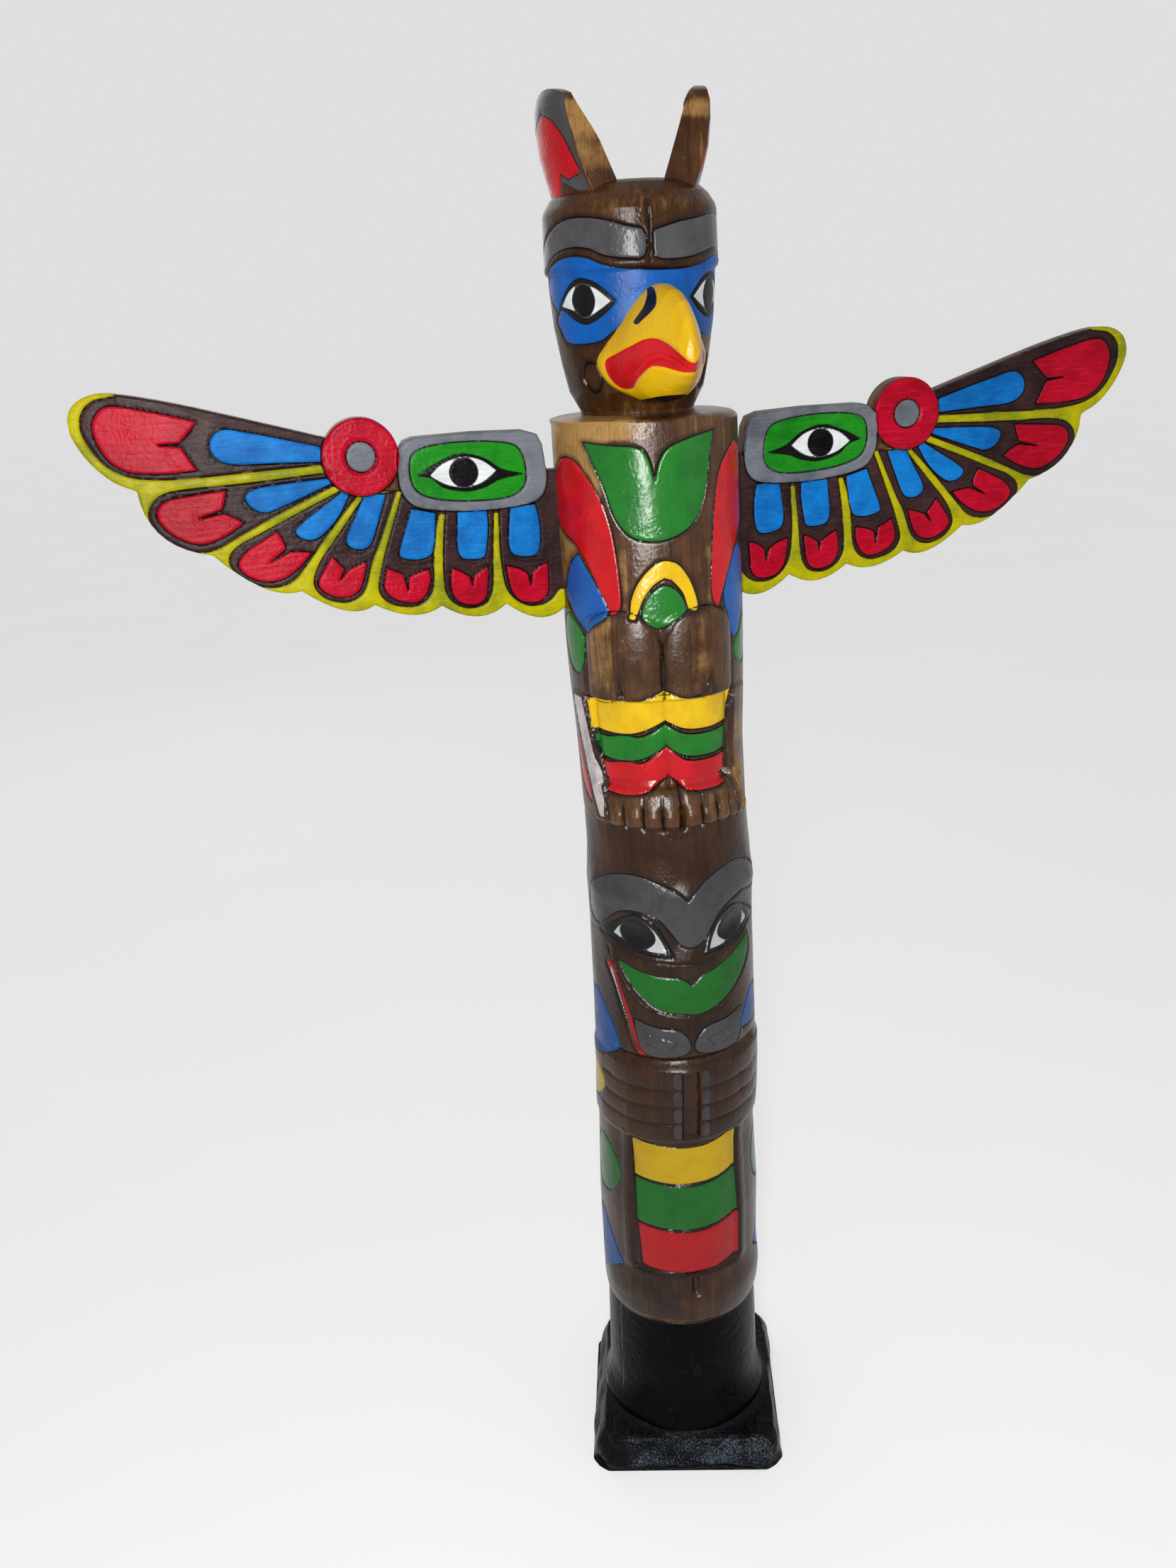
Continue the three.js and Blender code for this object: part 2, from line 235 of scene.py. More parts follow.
def hump(centre, half, x):
    return np.sqrt(np.clip(1 - ((x - centre) / half) ** 2, 0, 1))


def ribs(edges, x):
    """A row of rounded ridges between the given edges: 0 on an edge, 1 on a crest."""
    out = np.zeros_like(x)
    for a, b in zip(edges[:-1], edges[1:]):
        out = np.maximum(out, hump((a + b) / 2, (b - a) / 2, x))
    return out


def table(pairs, x):
    """Reads a curve given as (place, value) pairs."""
    xs, ys = zip(*pairs)
    return np.interp(x, xs, ys)


print("half way up a soft step:", rise(0, 1, 0.5))


# %% Meshes and their points
def new_piece(name, bm):
    """Turns a finished bmesh into an object of that name in the scene."""
    mesh = bpy.data.meshes.new(name)
    bm.to_mesh(mesh)
    bm.free()
    piece = bpy.data.objects.new(name, mesh)
    bpy.context.collection.objects.link(piece)
    return piece


def points_of(mesh):
    flat = np.empty(len(mesh.vertices) * 3)
    mesh.vertices.foreach_get("co", flat)
    return flat.reshape(-1, 3)


def set_points(mesh, points):
    mesh.vertices.foreach_set("co", np.ascontiguousarray(points).ravel())
    mesh.update()


def soften_edges(mesh, sharper_than, times, above=0.0):
    """Rounds the edges that turn by more than an angle in radians, over a given height."""
    bm = bmesh.new()
    bm.from_mesh(mesh)
    sharp = list({v for e in bm.edges if e.calc_face_angle(0) > sharper_than
                  for v in e.verts if v.co.z > above})
    for _ in range(times):
        bmesh.ops.smooth_vert(bm, verts=sharp, factor=0.5,
                              use_axis_x=True, use_axis_y=True, use_axis_z=True)
    bmesh.ops.recalc_face_normals(bm, faces=bm.faces)
    bm.to_mesh(mesh)
    bm.free()


print("helpers for the meshes: new_piece, points_of, set_points, soften_edges")

# %% [markdown]
# ## The log
# The silhouette of the log is turned like a column: a drum, the lower figure, the
# bird's body, a neck and a head. The columns of points are packed closer together
# on the carved front than on the plain back, and there is a row about every
# millimetre, so that a groove cut with a small V gouge keeps its shape.

# %% Log silhouette
POLE_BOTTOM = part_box("carved_pole")[0][2] / MM
FRONT_OF_LOG = -10

LOG_PROFILE = [
    (30, 66.5), (36, 66), (40, 64.5), (46, 62.5), (56, 61), (100, 60), (132, 59.2), (133.5, 59.6),
    (137, 61.3), (144, 62), (183, 61.7),
    (229, 62), (290, 60), (316, 60.9), (350, 60.5), (374, 60.7), (399, 60.2), (461, 59.4),
    (495, 60.2), (525, 58), (547, 57.3), (597, 57.6), (645, 59.6), (668, 60.2), (754, 60.4),
    (803, 60), (812, 59.8), (814.2, 59.2), (815.3, 57.8), (815.9, 54), (816.6, 45), (817, 37),
]
HEAD_PROFILE = [
    (817, 36.6), (819, 36.6), (831, 43), (848, 46.5), (871, 50), (890, 51.4), (899, 51.7),
    (901, 53.6), (903.5, 54.2), (906, 53.8), (933, 53.3), (936, 52.3), (942, 48.4), (947, 42.5),
    (949.5, 36), (950.5, 0),
]
AXIS_WANDER = [
    (30, 0), (290, 2), (340, 4), (520, 4), (600, 1), (780, -1), (812, -1), (817, -5), (1000, -5)
]
CROWDING = 0.56


def spread(angle):
    """Pushes evenly spaced angles together on the carved side."""
    a = angle - math.radians(FRONT_OF_LOG)
    return angle - CROWDING * np.sin(a) * (1 - 0.2 * np.cos(a))


def turned_section(name, rows, radii, columns):
    """A closed column: a profile from axis to axis, spun once round."""
    bm = bmesh.new()
    profile = [(0, rows[0])] + list(zip(radii, rows)) + [(0, rows[-1])]
    verts = [bm.verts.new((0, -r * MM, z * MM)) for r, z in profile]
    edges = [bm.edges.new(pair) for pair in zip(verts[:-1], verts[1:])]
    bmesh.ops.spin(bm, geom=verts + edges, cent=(0, 0, 0), axis=(0, 0, 1), angle=2 * math.pi,
                   steps=columns, use_merge=True, use_duplicate=False)
    bmesh.ops.remove_doubles(bm, verts=bm.verts, dist=1e-6)
    bmesh.ops.recalc_face_normals(bm, faces=bm.faces)
    return new_piece(name, bm)


print("the log stands from", round(POLE_BOTTOM, 1), "to", HEAD_PROFILE[-1][0], "mm, under the ears")

# %% [markdown]
# ## Carving the log in the round
# The large forms come first, as on the real pole: knees, legs between two side
# boards, feet, the heavy brow, hollows for the eyes, the muzzle, arms laid across
# the belly. `sculpt` returns how far the wood stands off the silhouette.

# %% Large forms
KNEES = (-39, 15)
LEFT_TOES = (-56, -43.5, -30, -17.5, -6)
RIGHT_TOES = (-3.5, 9, 20, 31, 44)
FINGERS = (304, 318, 331.5, 346, 361)


def feet(angle, z):
    slope = table([
        (549, 0.2), (549.5, 2.4), (551, 4.2), (554, 5.4), (558, 5.6), (564, 4.0), (572, 1.0),
        (577, -2.2), (583, -4.4)
    ], z)
    on = (z >= 549) & (z <= 583)
    d = np.where(on, slope, 0) * band(-56, 45, 4, angle)
    toes = np.maximum(ribs(LEFT_TOES, angle), ribs(RIGHT_TOES, angle))
    d -= 3.6 * (1 - toes) * band(549.5, 562, 5, z) * band(-55, 43, 2, angle)
    d -= 1.8 * bell(-5, 3, angle) * band(552, 578, 4, z)
    return d


def legs(angle, z):
    shins = band(578, 637, 3, z) * band(-63, 38, 2.5, angle)
    calves = hump(-38, 26, angle) + hump(14, 25, angle)
    lean = (638 - z) / 84 * 14
    left = band(-86 + lean, -71 + 1.1 * lean, 1.2, angle)
    boards = band(551, 638, 2.5, z) * (left + band(41 - 0.25 * lean, 58, 1.2, angle))
    return shins * (-4.6 + 3.4 * calves) + 1.4 * boards


def knees(angle, z):
    d = np.zeros_like(angle)
    for knee in KNEES:
        across = hump(knee, 27.5, angle)
        top = 698 - 13 * (1 - hump(knee, 29, angle))
        fall = np.sqrt(np.clip((top - z) / 24, 0, 1))
        full = fall * (2 - fall) * rise(637.5, 640, z) * (0.75 + 0.25 * rise(640, 668, z))
        split = 1.4 * bell(knee + 1.5, 1.5, angle) * (1 - rise(646, 655, z))
        d += ((-3.4 + 8.6 * across) * full - split * (full > 0)) * (np.abs(angle - knee) < 27)
    return d


def lower_face(angle, z):
    d = 1.6 * bell(497, 12, z) * band(-76, 58, 14, angle)
    d -= 3.4 * bell(467, 12, z) * (bell(-41, 16, angle) + bell(32, 15, angle))
    d += 1.8 * bell(-3, 8, angle) * band(448, 500, 12, z)
    lip = table([
        (-64, 452), (-50, 430), (-40, 417), (-30, 411), (-15, 407), (0, 406), (15, 409), (30, 418),
        (42, 432), (52, 447)
    ], angle)
    muzzle = rise(lip - 0.8, lip + 1.2, z) * (1 - rise(446, 466, z)) * band(-58, 46, 8, angle)
    d += 3.0 * muzzle
    d += 1.4 * bell(387, 12, z) * band(-46, 34, 5, angle)
    d -= 4.0 * bell(368, 3.6, z) * band(-58, 50, 10, angle)
    return d


def arms(angle, z):
    d = 1.6 * band(305, 360, 5, z) * band(-95, 85, 20, angle)
    hands = band(-76, -13, 4, angle) + band(0, 54, 4, angle)
    d -= 1.0 * (1 - ribs(FINGERS, z)) * hands * band(305, 360, 1, z)
    d -= 4.2 * band(-11.5, -2, 1.8, angle) * band(306, 358, 3, z)
    return d


def belly_and_feet(angle, z):
    d = -3.2 * band(-51, 29.5, 2.4, angle) * band(181.5, 299, 2, z)
    d += 1.0 * hump(-11, 44, angle) * band(183, 298, 3, z)
    d += 1.0 * (bell(-56, 4, angle) + bell(34, 4, angle)) * band(186, 300, 8, z)
    d += 1.5 * bell(158, 13, z) * band(-72, 62, 20, angle)
    d -= 4.0 * bell(-5.5, 3.2, angle) * band(164, 176, 4, z)
    return d


def sculpt(angle, z):
    """How far the carved wood stands off the silhouette, in millimetres."""
    return (feet(angle, z) + legs(angle, z) + knees(angle, z) + lower_face(angle, z)
            + arms(angle, z) + belly_and_feet(angle, z))


knee = sculpt(np.array([float(KNEES[0])]), np.array([670.0]))
print("the left knee stands", round(float(knee[0]), 1), "mm proud")


# %% [markdown]
# ## The motifs of the bird's body
# Each painted field has a dark V groove round it. The chest carries a tulip with
# a notch, two tall leaves and an arch over an egg, and three bands go round the legs.
# The front of the board beside the left leg is painted a pale grey.

# %% Body drawing
body = Drawing(DEGREE_MM)
body.paint("green", [
    (-56, 803), (-38, 801), (-20, 799), (-14, 792), (-11, 779), (-8, 790), (-2, 798), (12, 803),
    (30, 806), (26, 792), (23, 775), (17, 759), (8, 748), (-9, 742), (-26, 745), (-36, 757),
    (-41, 772), (-46, 784)
], corners=(0, 4, 8))
body.paint("red", [
    (-94, 770), (-88, 785), (-80, 792), (-70, 793), (-60, 789), (-48, 774), (-40, 755),
    (-36.5, 735), (-35, 712), (-36, 700), (-41, 696), (-46, 702), (-55, 722), (-67, 738),
    (-82, 746), (-92, 752)
])
body.paint("red", [
    (23.5, 706), (25, 735), (29, 765), (34, 781), (43, 791), (56, 797), (70, 790), (74, 770),
    (68, 750), (54, 737), (42, 721), (33, 704), (28.5, 696)
])
body.paint("blue", [
    (-66, 734), (-76, 726), (-83, 713), (-84, 704), (-78, 696), (-63, 683), (-54, 688), (-44, 696),
    (-48, 708), (-57, 722)
], corners=(0,))
body.paint("blue", [
    (34, 704), (41, 719), (53, 732), (66, 726), (72, 712), (66, 694), (55, 680), (46, 672),
    (38, 684)
], corners=(0,))
body.paint("green", [
    (-84, 693), (-76, 690), (-66, 679), (-67, 664), (-73, 653), (-83, 655), (-92, 668), (-92, 684)
], corners=(1, 4))
body.paint("green", [(45, 668), (54, 676), (64, 684), (72, 672), (68, 658), (56, 653), (46, 658)])
body.paint("yellow", [
    (-30.5, 694), (-29, 706), (-24, 717), (-16, 726), (-8, 730), (1, 727), (8, 717), (12, 706),
    (13.5, 698), (9.5, 696), (6, 698), (3, 708), (-3, 716), (-8, 718.5), (-15, 714), (-21, 706),
    (-24, 699), (-26.5, 693)
], corners=(0, 8, 13, 17))
body.paint("green", [
    (-23, 696), (-20, 706), (-14, 712), (-8, 714.5), (-1, 711), (4, 703), (5, 697), (-5, 690),
    (-13, 686.5), (-19, 690)
], corners=(6, 8))


def leg_band(colour, top, bottom, left, right, dip):
    """A band over both legs; its middle rises where the legs meet."""
    body.paint(colour, [
        (left[0], top), (-54, top - 0.5), (-40, top + 1.5), (-28, top + 1), (-13, top + dip),
        (-10, top + dip), (2, top + 1.5), (20, top), (right[0], top + 1), (right[1], bottom + 1),
        (20, bottom), (2, bottom + 1.5), (-10, bottom + dip), (-13, bottom + dip),
        (-28, bottom + 1), (-42, bottom - 1), (left[1], bottom)
    ], corners=(0, 8, 9, 16), groove=1.3, width=1.3)


leg_band("yellow", 638.5, 616, (-69.5, -67), (40.5, 38), 7)
leg_band("green", 613, 597, (-66, -63), (37.5, 36), 8)
leg_band("red", 594.5, 573, (-62.5, -57), (35.5, 32), 11)
body.cut([(-38.6, 655), (-38.5, 643)], 1.0, 1.1, ink=0.4)
body.cut([(17.8, 657), (18, 644)], 1.0, 1.1, ink=0.4)
body.cut([(-3, 790), (-2.6, 760), (-3.5, 706)], 0.12, 0.6, ink=0.5)
for toe in LEFT_TOES[1:-1] + RIGHT_TOES[1:-1]:
    body.cut([(toe + 0.6, 571), (toe, 562), (toe, 550)], 0.6, 1.3, ink=0.35)
body.cut([(-5, 578), (-5, 565), (-5, 550)], 0.8, 1.6, ink=0)
body.cut([(-69, 638), (-61, 592), (-54, 553)], 0.25, 1.2, ink=0.3)
body.cut([(40.5, 638), (38.5, 592), (36.5, 553)], 0.25, 1.2, ink=0.3)
# The front of the left board is painted a pale grey.
body.paint("pale_strip", [
    (-85, 637), (-72.5, 637), (-64.5, 594), (-57, 553), (-66, 552), (-72, 572), (-79, 605)
], corners=(0, 1, 3, 4), groove=0.3, width=0.8)
for knee, half in zip(KNEES, (28, 27)):
    body.cut([
        (knee - half, 638), (knee - half, 668), (knee - half + 5, 685), (knee - 10, 697),
        (knee + 10, 697.5), (knee + half - 5, 687), (knee + half, 670), (knee + half, 640)
    ], 0.5, 1.6, ink=0.15)
body.cut([
    (-69, 637), (-60, 635.5), (-48, 636.5), (-41, 641), (-39, 652), (-37, 642), (-30, 639.5),
    (-12, 643), (0, 641), (13, 642), (18, 654), (22, 641), (32, 639), (41, 640)
], 1.2, 1.4, corners=(4, 10))
body.paint("red", [
    (-96, 604), (-88, 600), (-84, 588), (-78, 572), (-74, 560), (-82, 562), (-92, 575)
], corners=(0, 4), groove=0.7)
print("body motifs:", len(body.shapes), "fields,", len(body.lines), "cuts")

# %% [markdown]
# ## The motifs of the lower figure
# Grey heart-shaped brows, slanting eyes, a crescent over the muzzle, scrolled
# nostrils, a striped mouth corner, and three bands on the belly.

# %% Lower figure drawing
lower = Drawing(DEGREE_MM)
lower.paint("grey", [
    (-91, 480), (-84, 494), (-72, 505), (-56, 512), (-40, 514), (-25, 510), (-12, 503), (-5, 496),
    (4, 505), (18, 513), (34, 516), (48, 512), (60, 503), (68, 490), (52, 489), (40, 492),
    (28, 489), (18, 481), (10, 468), (4, 462), (-4, 460), (-11, 463), (-17, 472), (-26, 483),
    (-40, 487), (-54, 484), (-66, 475), (-76, 468), (-88, 470)
], corners=(7, 13))
for x, side in ((-41, 1), (31, -1)):
    lower.paint("black", flipped([
        (-34, 463.5), (-20, 474), (0, 484.5), (14, 477), (22, 463), (26, 453), (8, 454.5),
        (-10, 457.5), (-22, 462)
    ], side, x), corners=(0, 5))
    lower.paint("white", flipped([
        (-20, 465.5), (-12, 474.5), (0, 480), (11, 475), (18, 465), (22, 456), (8, 456.8),
        (-8, 460.5)
    ], side, x), corners=(0, 5), groove=0.35, width=0.8)
    lower.paint("pupil", flipped([
        (-13.5, 470), (-7, 478.6), (3.5, 479.2), (12, 470.5), (12.5, 463), (4.5, 457.8),
        (-6, 459.6), (-12, 463.8)
    ], side, x), groove=0.3, width=0.8)
lower.paint("green", [
    (-55, 448.5), (-42, 443.5), (-25, 439), (-11, 437), (-4, 431), (3, 437.5), (16, 443), (32, 450),
    (48, 456), (43, 441), (34, 428), (20, 416), (4, 408.5), (-10, 409), (-26, 413), (-40, 424),
    (-50, 438)
], corners=(0, 4, 8))
lower.paint("red", [
    (-69, 440), (-61, 440), (-55, 424), (-47, 402), (-41, 385), (-36, 373), (-42, 371), (-48, 384),
    (-54, 402), (-61, 424)
], corners=(5, 6), groove=1.0)
lower.paint("white", [
    (-65, 436), (-62.5, 437), (-56, 419), (-49, 397), (-42, 377), (-45.5, 383), (-52, 401),
    (-60, 424)
], corners=(4,), groove=0.5, width=0.8)
for x, side in ((-25, 1), (16, -1)):
    lower.paint("grey", flipped([
        (-20, 402), (-6, 398), (10, 396), (18, 388), (19, 379), (12, 374), (-4, 372), (-14, 376),
        (-18, 390)
    ], side, x), corners=(0,), lift=0.8)
    lower.cut(flipped([(-8, 391), (1, 389), (10, 386), (6, 382)], side, x), 0.9, 1.3)
    lower.cut(flipped([(-10, 384), (0, 380), (8, 381)], side, x), 0.7, 1.2)
lower.paint("blue", [
    (-98, 408), (-86, 412), (-74, 403), (-62, 385), (-57, 373), (-68, 365), (-82, 359), (-98, 356)
], corners=(4, 7, 0))
lower.paint("blue", [
    (33, 383), (41, 396), (53, 409), (66, 404), (78, 386), (72, 377), (56, 379)
], corners=(0, 4))
lower.cut([
    (-66, 453), (-52, 430), (-41, 417), (-30, 411), (-15, 406.5), (0, 405.5), (15, 408), (30, 417),
    (42, 431), (52, 447)
], 1.1, 1.5)
lower.cut([
    (-90, 460), (-76, 463), (-62, 458), (-40, 452), (-15, 449), (10, 450), (30, 457), (50, 463)
], 0.5, 1.2)
lower.paint("yellow", [(-106, 318), (-94, 316), (-80, 326), (-77, 335), (-84, 344), (-98, 346)])
for x in (-80, 70):
    lower.paint("green", [
        (x - 19, 262), (x - 10, 284), (x + 6, 282), (x + 19, 262), (x + 8, 242), (x - 10, 238)
    ])
lower.paint("blue", [
    (-96, 214), (-86, 212), (-74, 196), (-62, 178), (-76, 168), (-94, 154)
], corners=(0, 3, 5))
lower.paint("blue", [
    (52, 180), (64, 198), (76, 212), (86, 213), (86, 158), (66, 168)
], corners=(0, 3, 4))


def belly_band(colour, top, bottom, left, right):
    lower.paint(colour, [
        (left[0], top), (-30, top - 2), (-11, top - 4), (8, top - 3), (right[0], top + 2),
        (right[1], bottom + 5), (12, bottom + 1), (-10, bottom), (-30, bottom + 1),
        (left[1], bottom + 3)
    ], corners=(0, 4, 5, 9), groove=0.8, width=1.1)


belly_band("yellow", 298, 262.5, (-52, -51), (31, 30.5))
belly_band("green", 264, 222, (-51, -49.5), (30.5, 31))
belly_band("red", 223.5, 181.5, (-49, -46), (31.5, 31.5))
for x in (-16, 3):
    for low, high in zip(FINGERS[:-1], FINGERS[1:]):
        lower.paint("nail", [
            (x - 2.2, low + 1.8), (x - 2.6, high - 2.4), (x + 2.6, high - 1.6), (x + 3, low + 1.4)
        ], groove=0)
for z in FINGERS[1:-1]:
    lower.cut([(-86, z + 1), (-60, z), (-14, z)], 0.5, 1.0, ink=0.42)
    lower.cut([(0, z), (26, z), (54, z + 2)], 0.5, 1.0, ink=0.42)
print("lower figure motifs:", len(lower.shapes), "fields,", len(lower.lines), "cuts")

# %% [markdown]
# ## The motifs of the head
# A grey brow in two halves, a blue mask running round the eyes, and on the ears a
# red leaf in a grey border.

# %% Head drawing
HEAD_MM = 52 * math.pi / 180
head = Drawing(HEAD_MM)
ear_drawing = Drawing(HEAD_MM)
head.paint("grey", [
    (-104, 908), (-90, 919), (-75, 926), (-60, 929.5), (-45, 929.5), (-30, 927), (-18, 923.5),
    (-8, 921.5), (-5.5, 917), (-6, 908), (-10, 905), (-22, 906), (-33, 908), (-45, 912.5),
    (-60, 913.5), (-75, 910.5), (-90, 902), (-100, 893)
], corners=(7, 10), groove=0.9)
head.paint("grey", [
    (-1, 920), (16, 924), (30, 926), (46, 928.5), (62, 929), (80, 926), (96, 916), (104, 894),
    (92, 901), (76, 909), (60, 911), (46, 909), (30, 905.5), (14, 904), (3, 904.5), (-1, 908)
], corners=(0, 7), groove=0.9)
head.paint("blue", [
    (-98, 893), (-88, 900), (-75, 906.5), (-60, 909), (-46, 908), (-32, 903), (-20, 900.5),
    (0, 899), (20, 899), (34, 901), (48, 905), (62, 907), (78, 903), (92, 896), (99, 888),
    (92, 884), (78, 878), (82, 870), (74, 862), (58, 860), (42, 862), (28, 868), (0, 874),
    (-25, 868), (-40, 861), (-60, 859.5), (-74, 861.5), (-81, 869), (-84, 874), (-78, 878),
    (-90, 884)
], corners=(0, 14, 16, 29), groove=0.6)
for side in (1, -1):
    head.paint("black", flipped([
        (-78, 880), (-66, 891), (-54, 896.5), (-40, 893), (-27, 883), (-36, 876), (-50, 871),
        (-62, 874.5), (-70, 879)
    ], side), corners=(0, 4), groove=0.7, width=1.0)
    head.paint("white", flipped([
        (-74, 881.5), (-63, 890.5), (-52, 893.8), (-41, 891), (-29.5, 883), (-38, 878.5),
        (-50, 874.3), (-62, 879)
    ], side), corners=(0, 4), groove=0.3, width=0.7)
    head.paint("pupil", flipped([
        (-61, 884), (-57, 891), (-51, 893.3), (-45, 891), (-42, 884), (-45, 877.5), (-51, 875),
        (-57, 877.5)
    ], side), groove=0.3, width=0.7)
    head.paint("bare", flipped([
        (-44, 839), (-48, 847), (-57, 848), (-62, 840), (-58, 833), (-50, 831)
    ], side), groove=1.4, width=2.2, lift=-1.2, soft=2.5)
    ear_drawing.paint("grey", flipped([
        (-118, 990), (-92, 1004), (-62, 1004), (-51, 985), (-44, 962), (-40, 944), (-52, 944),
        (-58, 946), (-67, 950), (-71, 944), (-76, 936), (-100, 934), (-124, 945), (-128, 968)
    ], side), corners=(5, 8, 10, 11), groove=0)
    ear_drawing.paint("red", flipped([
        (-80, 987), (-67, 982), (-57, 971), (-50.5, 958), (-48.5, 953.5), (-61, 950.5),
        (-67, 954.5), (-71.5, 947), (-76, 940.5), (-96, 944), (-108, 955), (-104, 975)
    ], side), corners=(0, 4, 5, 6, 8), groove=0.7)
head.cut([(-3.6, 935), (-3.2, 918), (-3.5, 904)], 1.0, 1.3, ink=0.35)
print("head motifs:", len(head.shapes), "fields,", len(head.lines), "cuts")

# %% [markdown]
# ## Cutting the log
# Every point of the log is flattened to angle and height. Points that lie close to
# a groove are first slid onto its middle, so the cut is clean, then each point is
# moved in or out by the large forms and the grooves. What the finish has to know is
# kept on the points: the distance to each paint's outline and to the nearest
# groove, how much paler the stain is made (rubbed places, and painted light on the
# left of the chest), and how much darker. The lower figure and the back of the log
# low down are made darker, with a redder stain and painted shade that grows towards
# the bottom.

# %% Carve one section of the log
HEAD_TOP = 950.5
SHOULDER = 817
FEET_LEDGE = 548.6
CHIN = 368
DRUM_TOP = 133
GOUGE = np.random.default_rng(7)


def hand_marks(angle, z):
    """Low facets left by the gouge, no two alike."""
    marks = np.zeros_like(z)
    for _ in range(14):
        a, b, c = GOUGE.uniform(0.02, 0.09), GOUGE.uniform(0.02, 0.07), GOUGE.uniform(0, 6.28)
        marks += np.sin(a * angle * 3 + b * z + c)
    return 0.05 * marks


def keep_paint(mesh, dist, line, wear_and_light=0.0, stain_and_shade_depth=0.0):
    """Stores the distances, the paleness (rubbed places and painted light) and the darkening
    (redder stain and painted shade) on the points for the finish.
    """
    marks = {"paint_" + colour: values for colour, values in dist.items()}
    marks["groove"] = line
    marks["wear_and_light"] = np.zeros(len(mesh.vertices)) + wear_and_light
    marks["stain_and_shade_depth"] = np.zeros(len(mesh.vertices)) + stain_and_shade_depth
    for name, values in marks.items():
        mark = mesh.attributes.new(name, "FLOAT", "POINT")
        mark.data.foreach_set("value", np.ascontiguousarray(values))


def worn_and_lit_places(angle, z):
    """Where the stain is made paler, 0 to 1: rubbed places, and painted light on the shoulder and
    the left of the chest.
    """
    # Painted light: the top of the shoulder and the left of the chest are made paler where the lamp
    # falls on them.
    wear_and_light = 0.85 * band(806, 816, 6, z) * band(-88, -30, 24, angle)
    wear_and_light += 0.75 * band(720, 806, 40, z) * band(-86, -48, 14, angle)
    wear_and_light += 0.5 * band(553, 634, 8, z) * band(43, 57, 3, angle)
    wear_and_light += 0.5 * band(134.5, 138.5, 2.5, z)
    wear_and_light += 0.22 * band(150, 172, 12, z) * band(-60, 10, 30, angle)
    wear_and_light += 0.5 * band(650, 690, 20, z) * (bell(-50, 12, angle) + 0.6 * bell(10, 11, angle))
    wear_and_light += 0.35 * band(700, 735, 14, z) * (bell(-32, 7, angle) + bell(22, 6, angle))
    wear_and_light += 0.3 * band(740, 800, 20, z) * bell(38, 6, angle)
    return np.clip(wear_and_light, 0, 1)


def carve_section(name, low, high, step, columns, drawing, profile, shaped=True):
    """One length of the log, in rows a step apart; a shaped one has the large forms too."""
    rows = np.linspace(low, high, int(round((high - low) / step)) + 1)
    piece = turned_section(name, rows, table(profile, rows), columns)
    p = points_of(piece.data) / MM
    side = np.hypot(p[:, 0], p[:, 1]) > 1e-3
    angle = np.zeros(len(p))
    angle[side] = np.degrees(spread(np.arctan2(p[side, 0], -p[side, 1])))
    z = p[:, 2]
    flat = np.column_stack([angle * drawing.stretch, z])
    _, _, line, foot = drawing.read(flat)
    move = foot - flat
    size = np.hypot(*move.T) + 1e-9
    across = LOG_RADIUS * math.radians(360) / columns * 0.62
    reach = 0.5 * (np.abs(move[:, 0]) * across + np.abs(move[:, 1]) * step) / size
    snap = side & (line < reach) & (z > low + step) & (z < high - step)
    flat[snap] = foot[snap]
    angle, z = flat[:, 0] / drawing.stretch, flat[:, 1].copy()
    relief, dist, line, _ = drawing.read(flat)
    if shaped:
        relief = relief + sculpt(angle, z)
    relief = relief + hand_marks(angle, z) * band(low + 2, high - 2, 2, z)
    r = table(profile, z) + relief
    r[~side] = 0
    turn = np.radians(angle)
    x = r * np.sin(turn) + table(AXIS_WANDER, z)
    set_points(piece.data, np.column_stack([x, -r * np.cos(turn), z]) * MM)
    worn_brow = 0.25 * band(931, 937, 3, z) * band(-30, 60, 20, angle)
    wear_and_light = worn_and_lit_places(angle, z) if shaped else worn_brow
    # Painted shade with a redder stain: the lower figure, and the back of the log low down, are
    # marked to darken towards the bottom.
    front = float(high <= FEET_LEDGE)
    stain_and_shade_depth = front + (1 - rise(450, 650, z) - front) * rise(75, 115, np.abs(angle))
    keep_paint(piece.data, dist, line, wear_and_light, stain_and_shade_depth)
    print(name, len(piece.data.polygons), "faces")
    return piece


# %% [markdown]
# ## The ears
# The ears are the two ends of the log left standing when a wedge was sawn out of
# its top. Each is a block with flat front and back, a straight inner side, and an
# outer side that is the flared skin of the log. A cube is cut into a fine grid and
# every point is put in its place between those faces; smoothing rounds the edges.

# %% Ears
EAR_HALF_DEPTH = 27.5
EAR_MIDDLE = -7.5
EAR_FRONT = EAR_HALF_DEPTH - EAR_MIDDLE
EAR_FOOT = 936.0
EAR_TOP = 1000
EAR_CUTS = 71
HEAD_AXIS = -5.0
EAR_FLARE = [
    (925, 44), (936, 45), (943, 46.5), (955, 50), (966, 52.6), (980, 54), (990, 54), (996, 52.6),
    (1002, 50)
]
EAR_INNER = {1: [(936, 5), (949, 7.5), (975, 17), (990, 21.5), (1000, 27)], -1: [
    (936, -17), (949, -21), (975, -32.3), (988, -39.2), (1000, -45)
]}


def ear_top(y):
    """Height of the rounded top at each depth."""
    t = np.clip(np.abs(y - EAR_MIDDLE) / EAR_HALF_DEPTH, 0, 1)
    return EAR_TOP - 8 * t**2.2 - 26 * rise(0.80, 1.06, t)


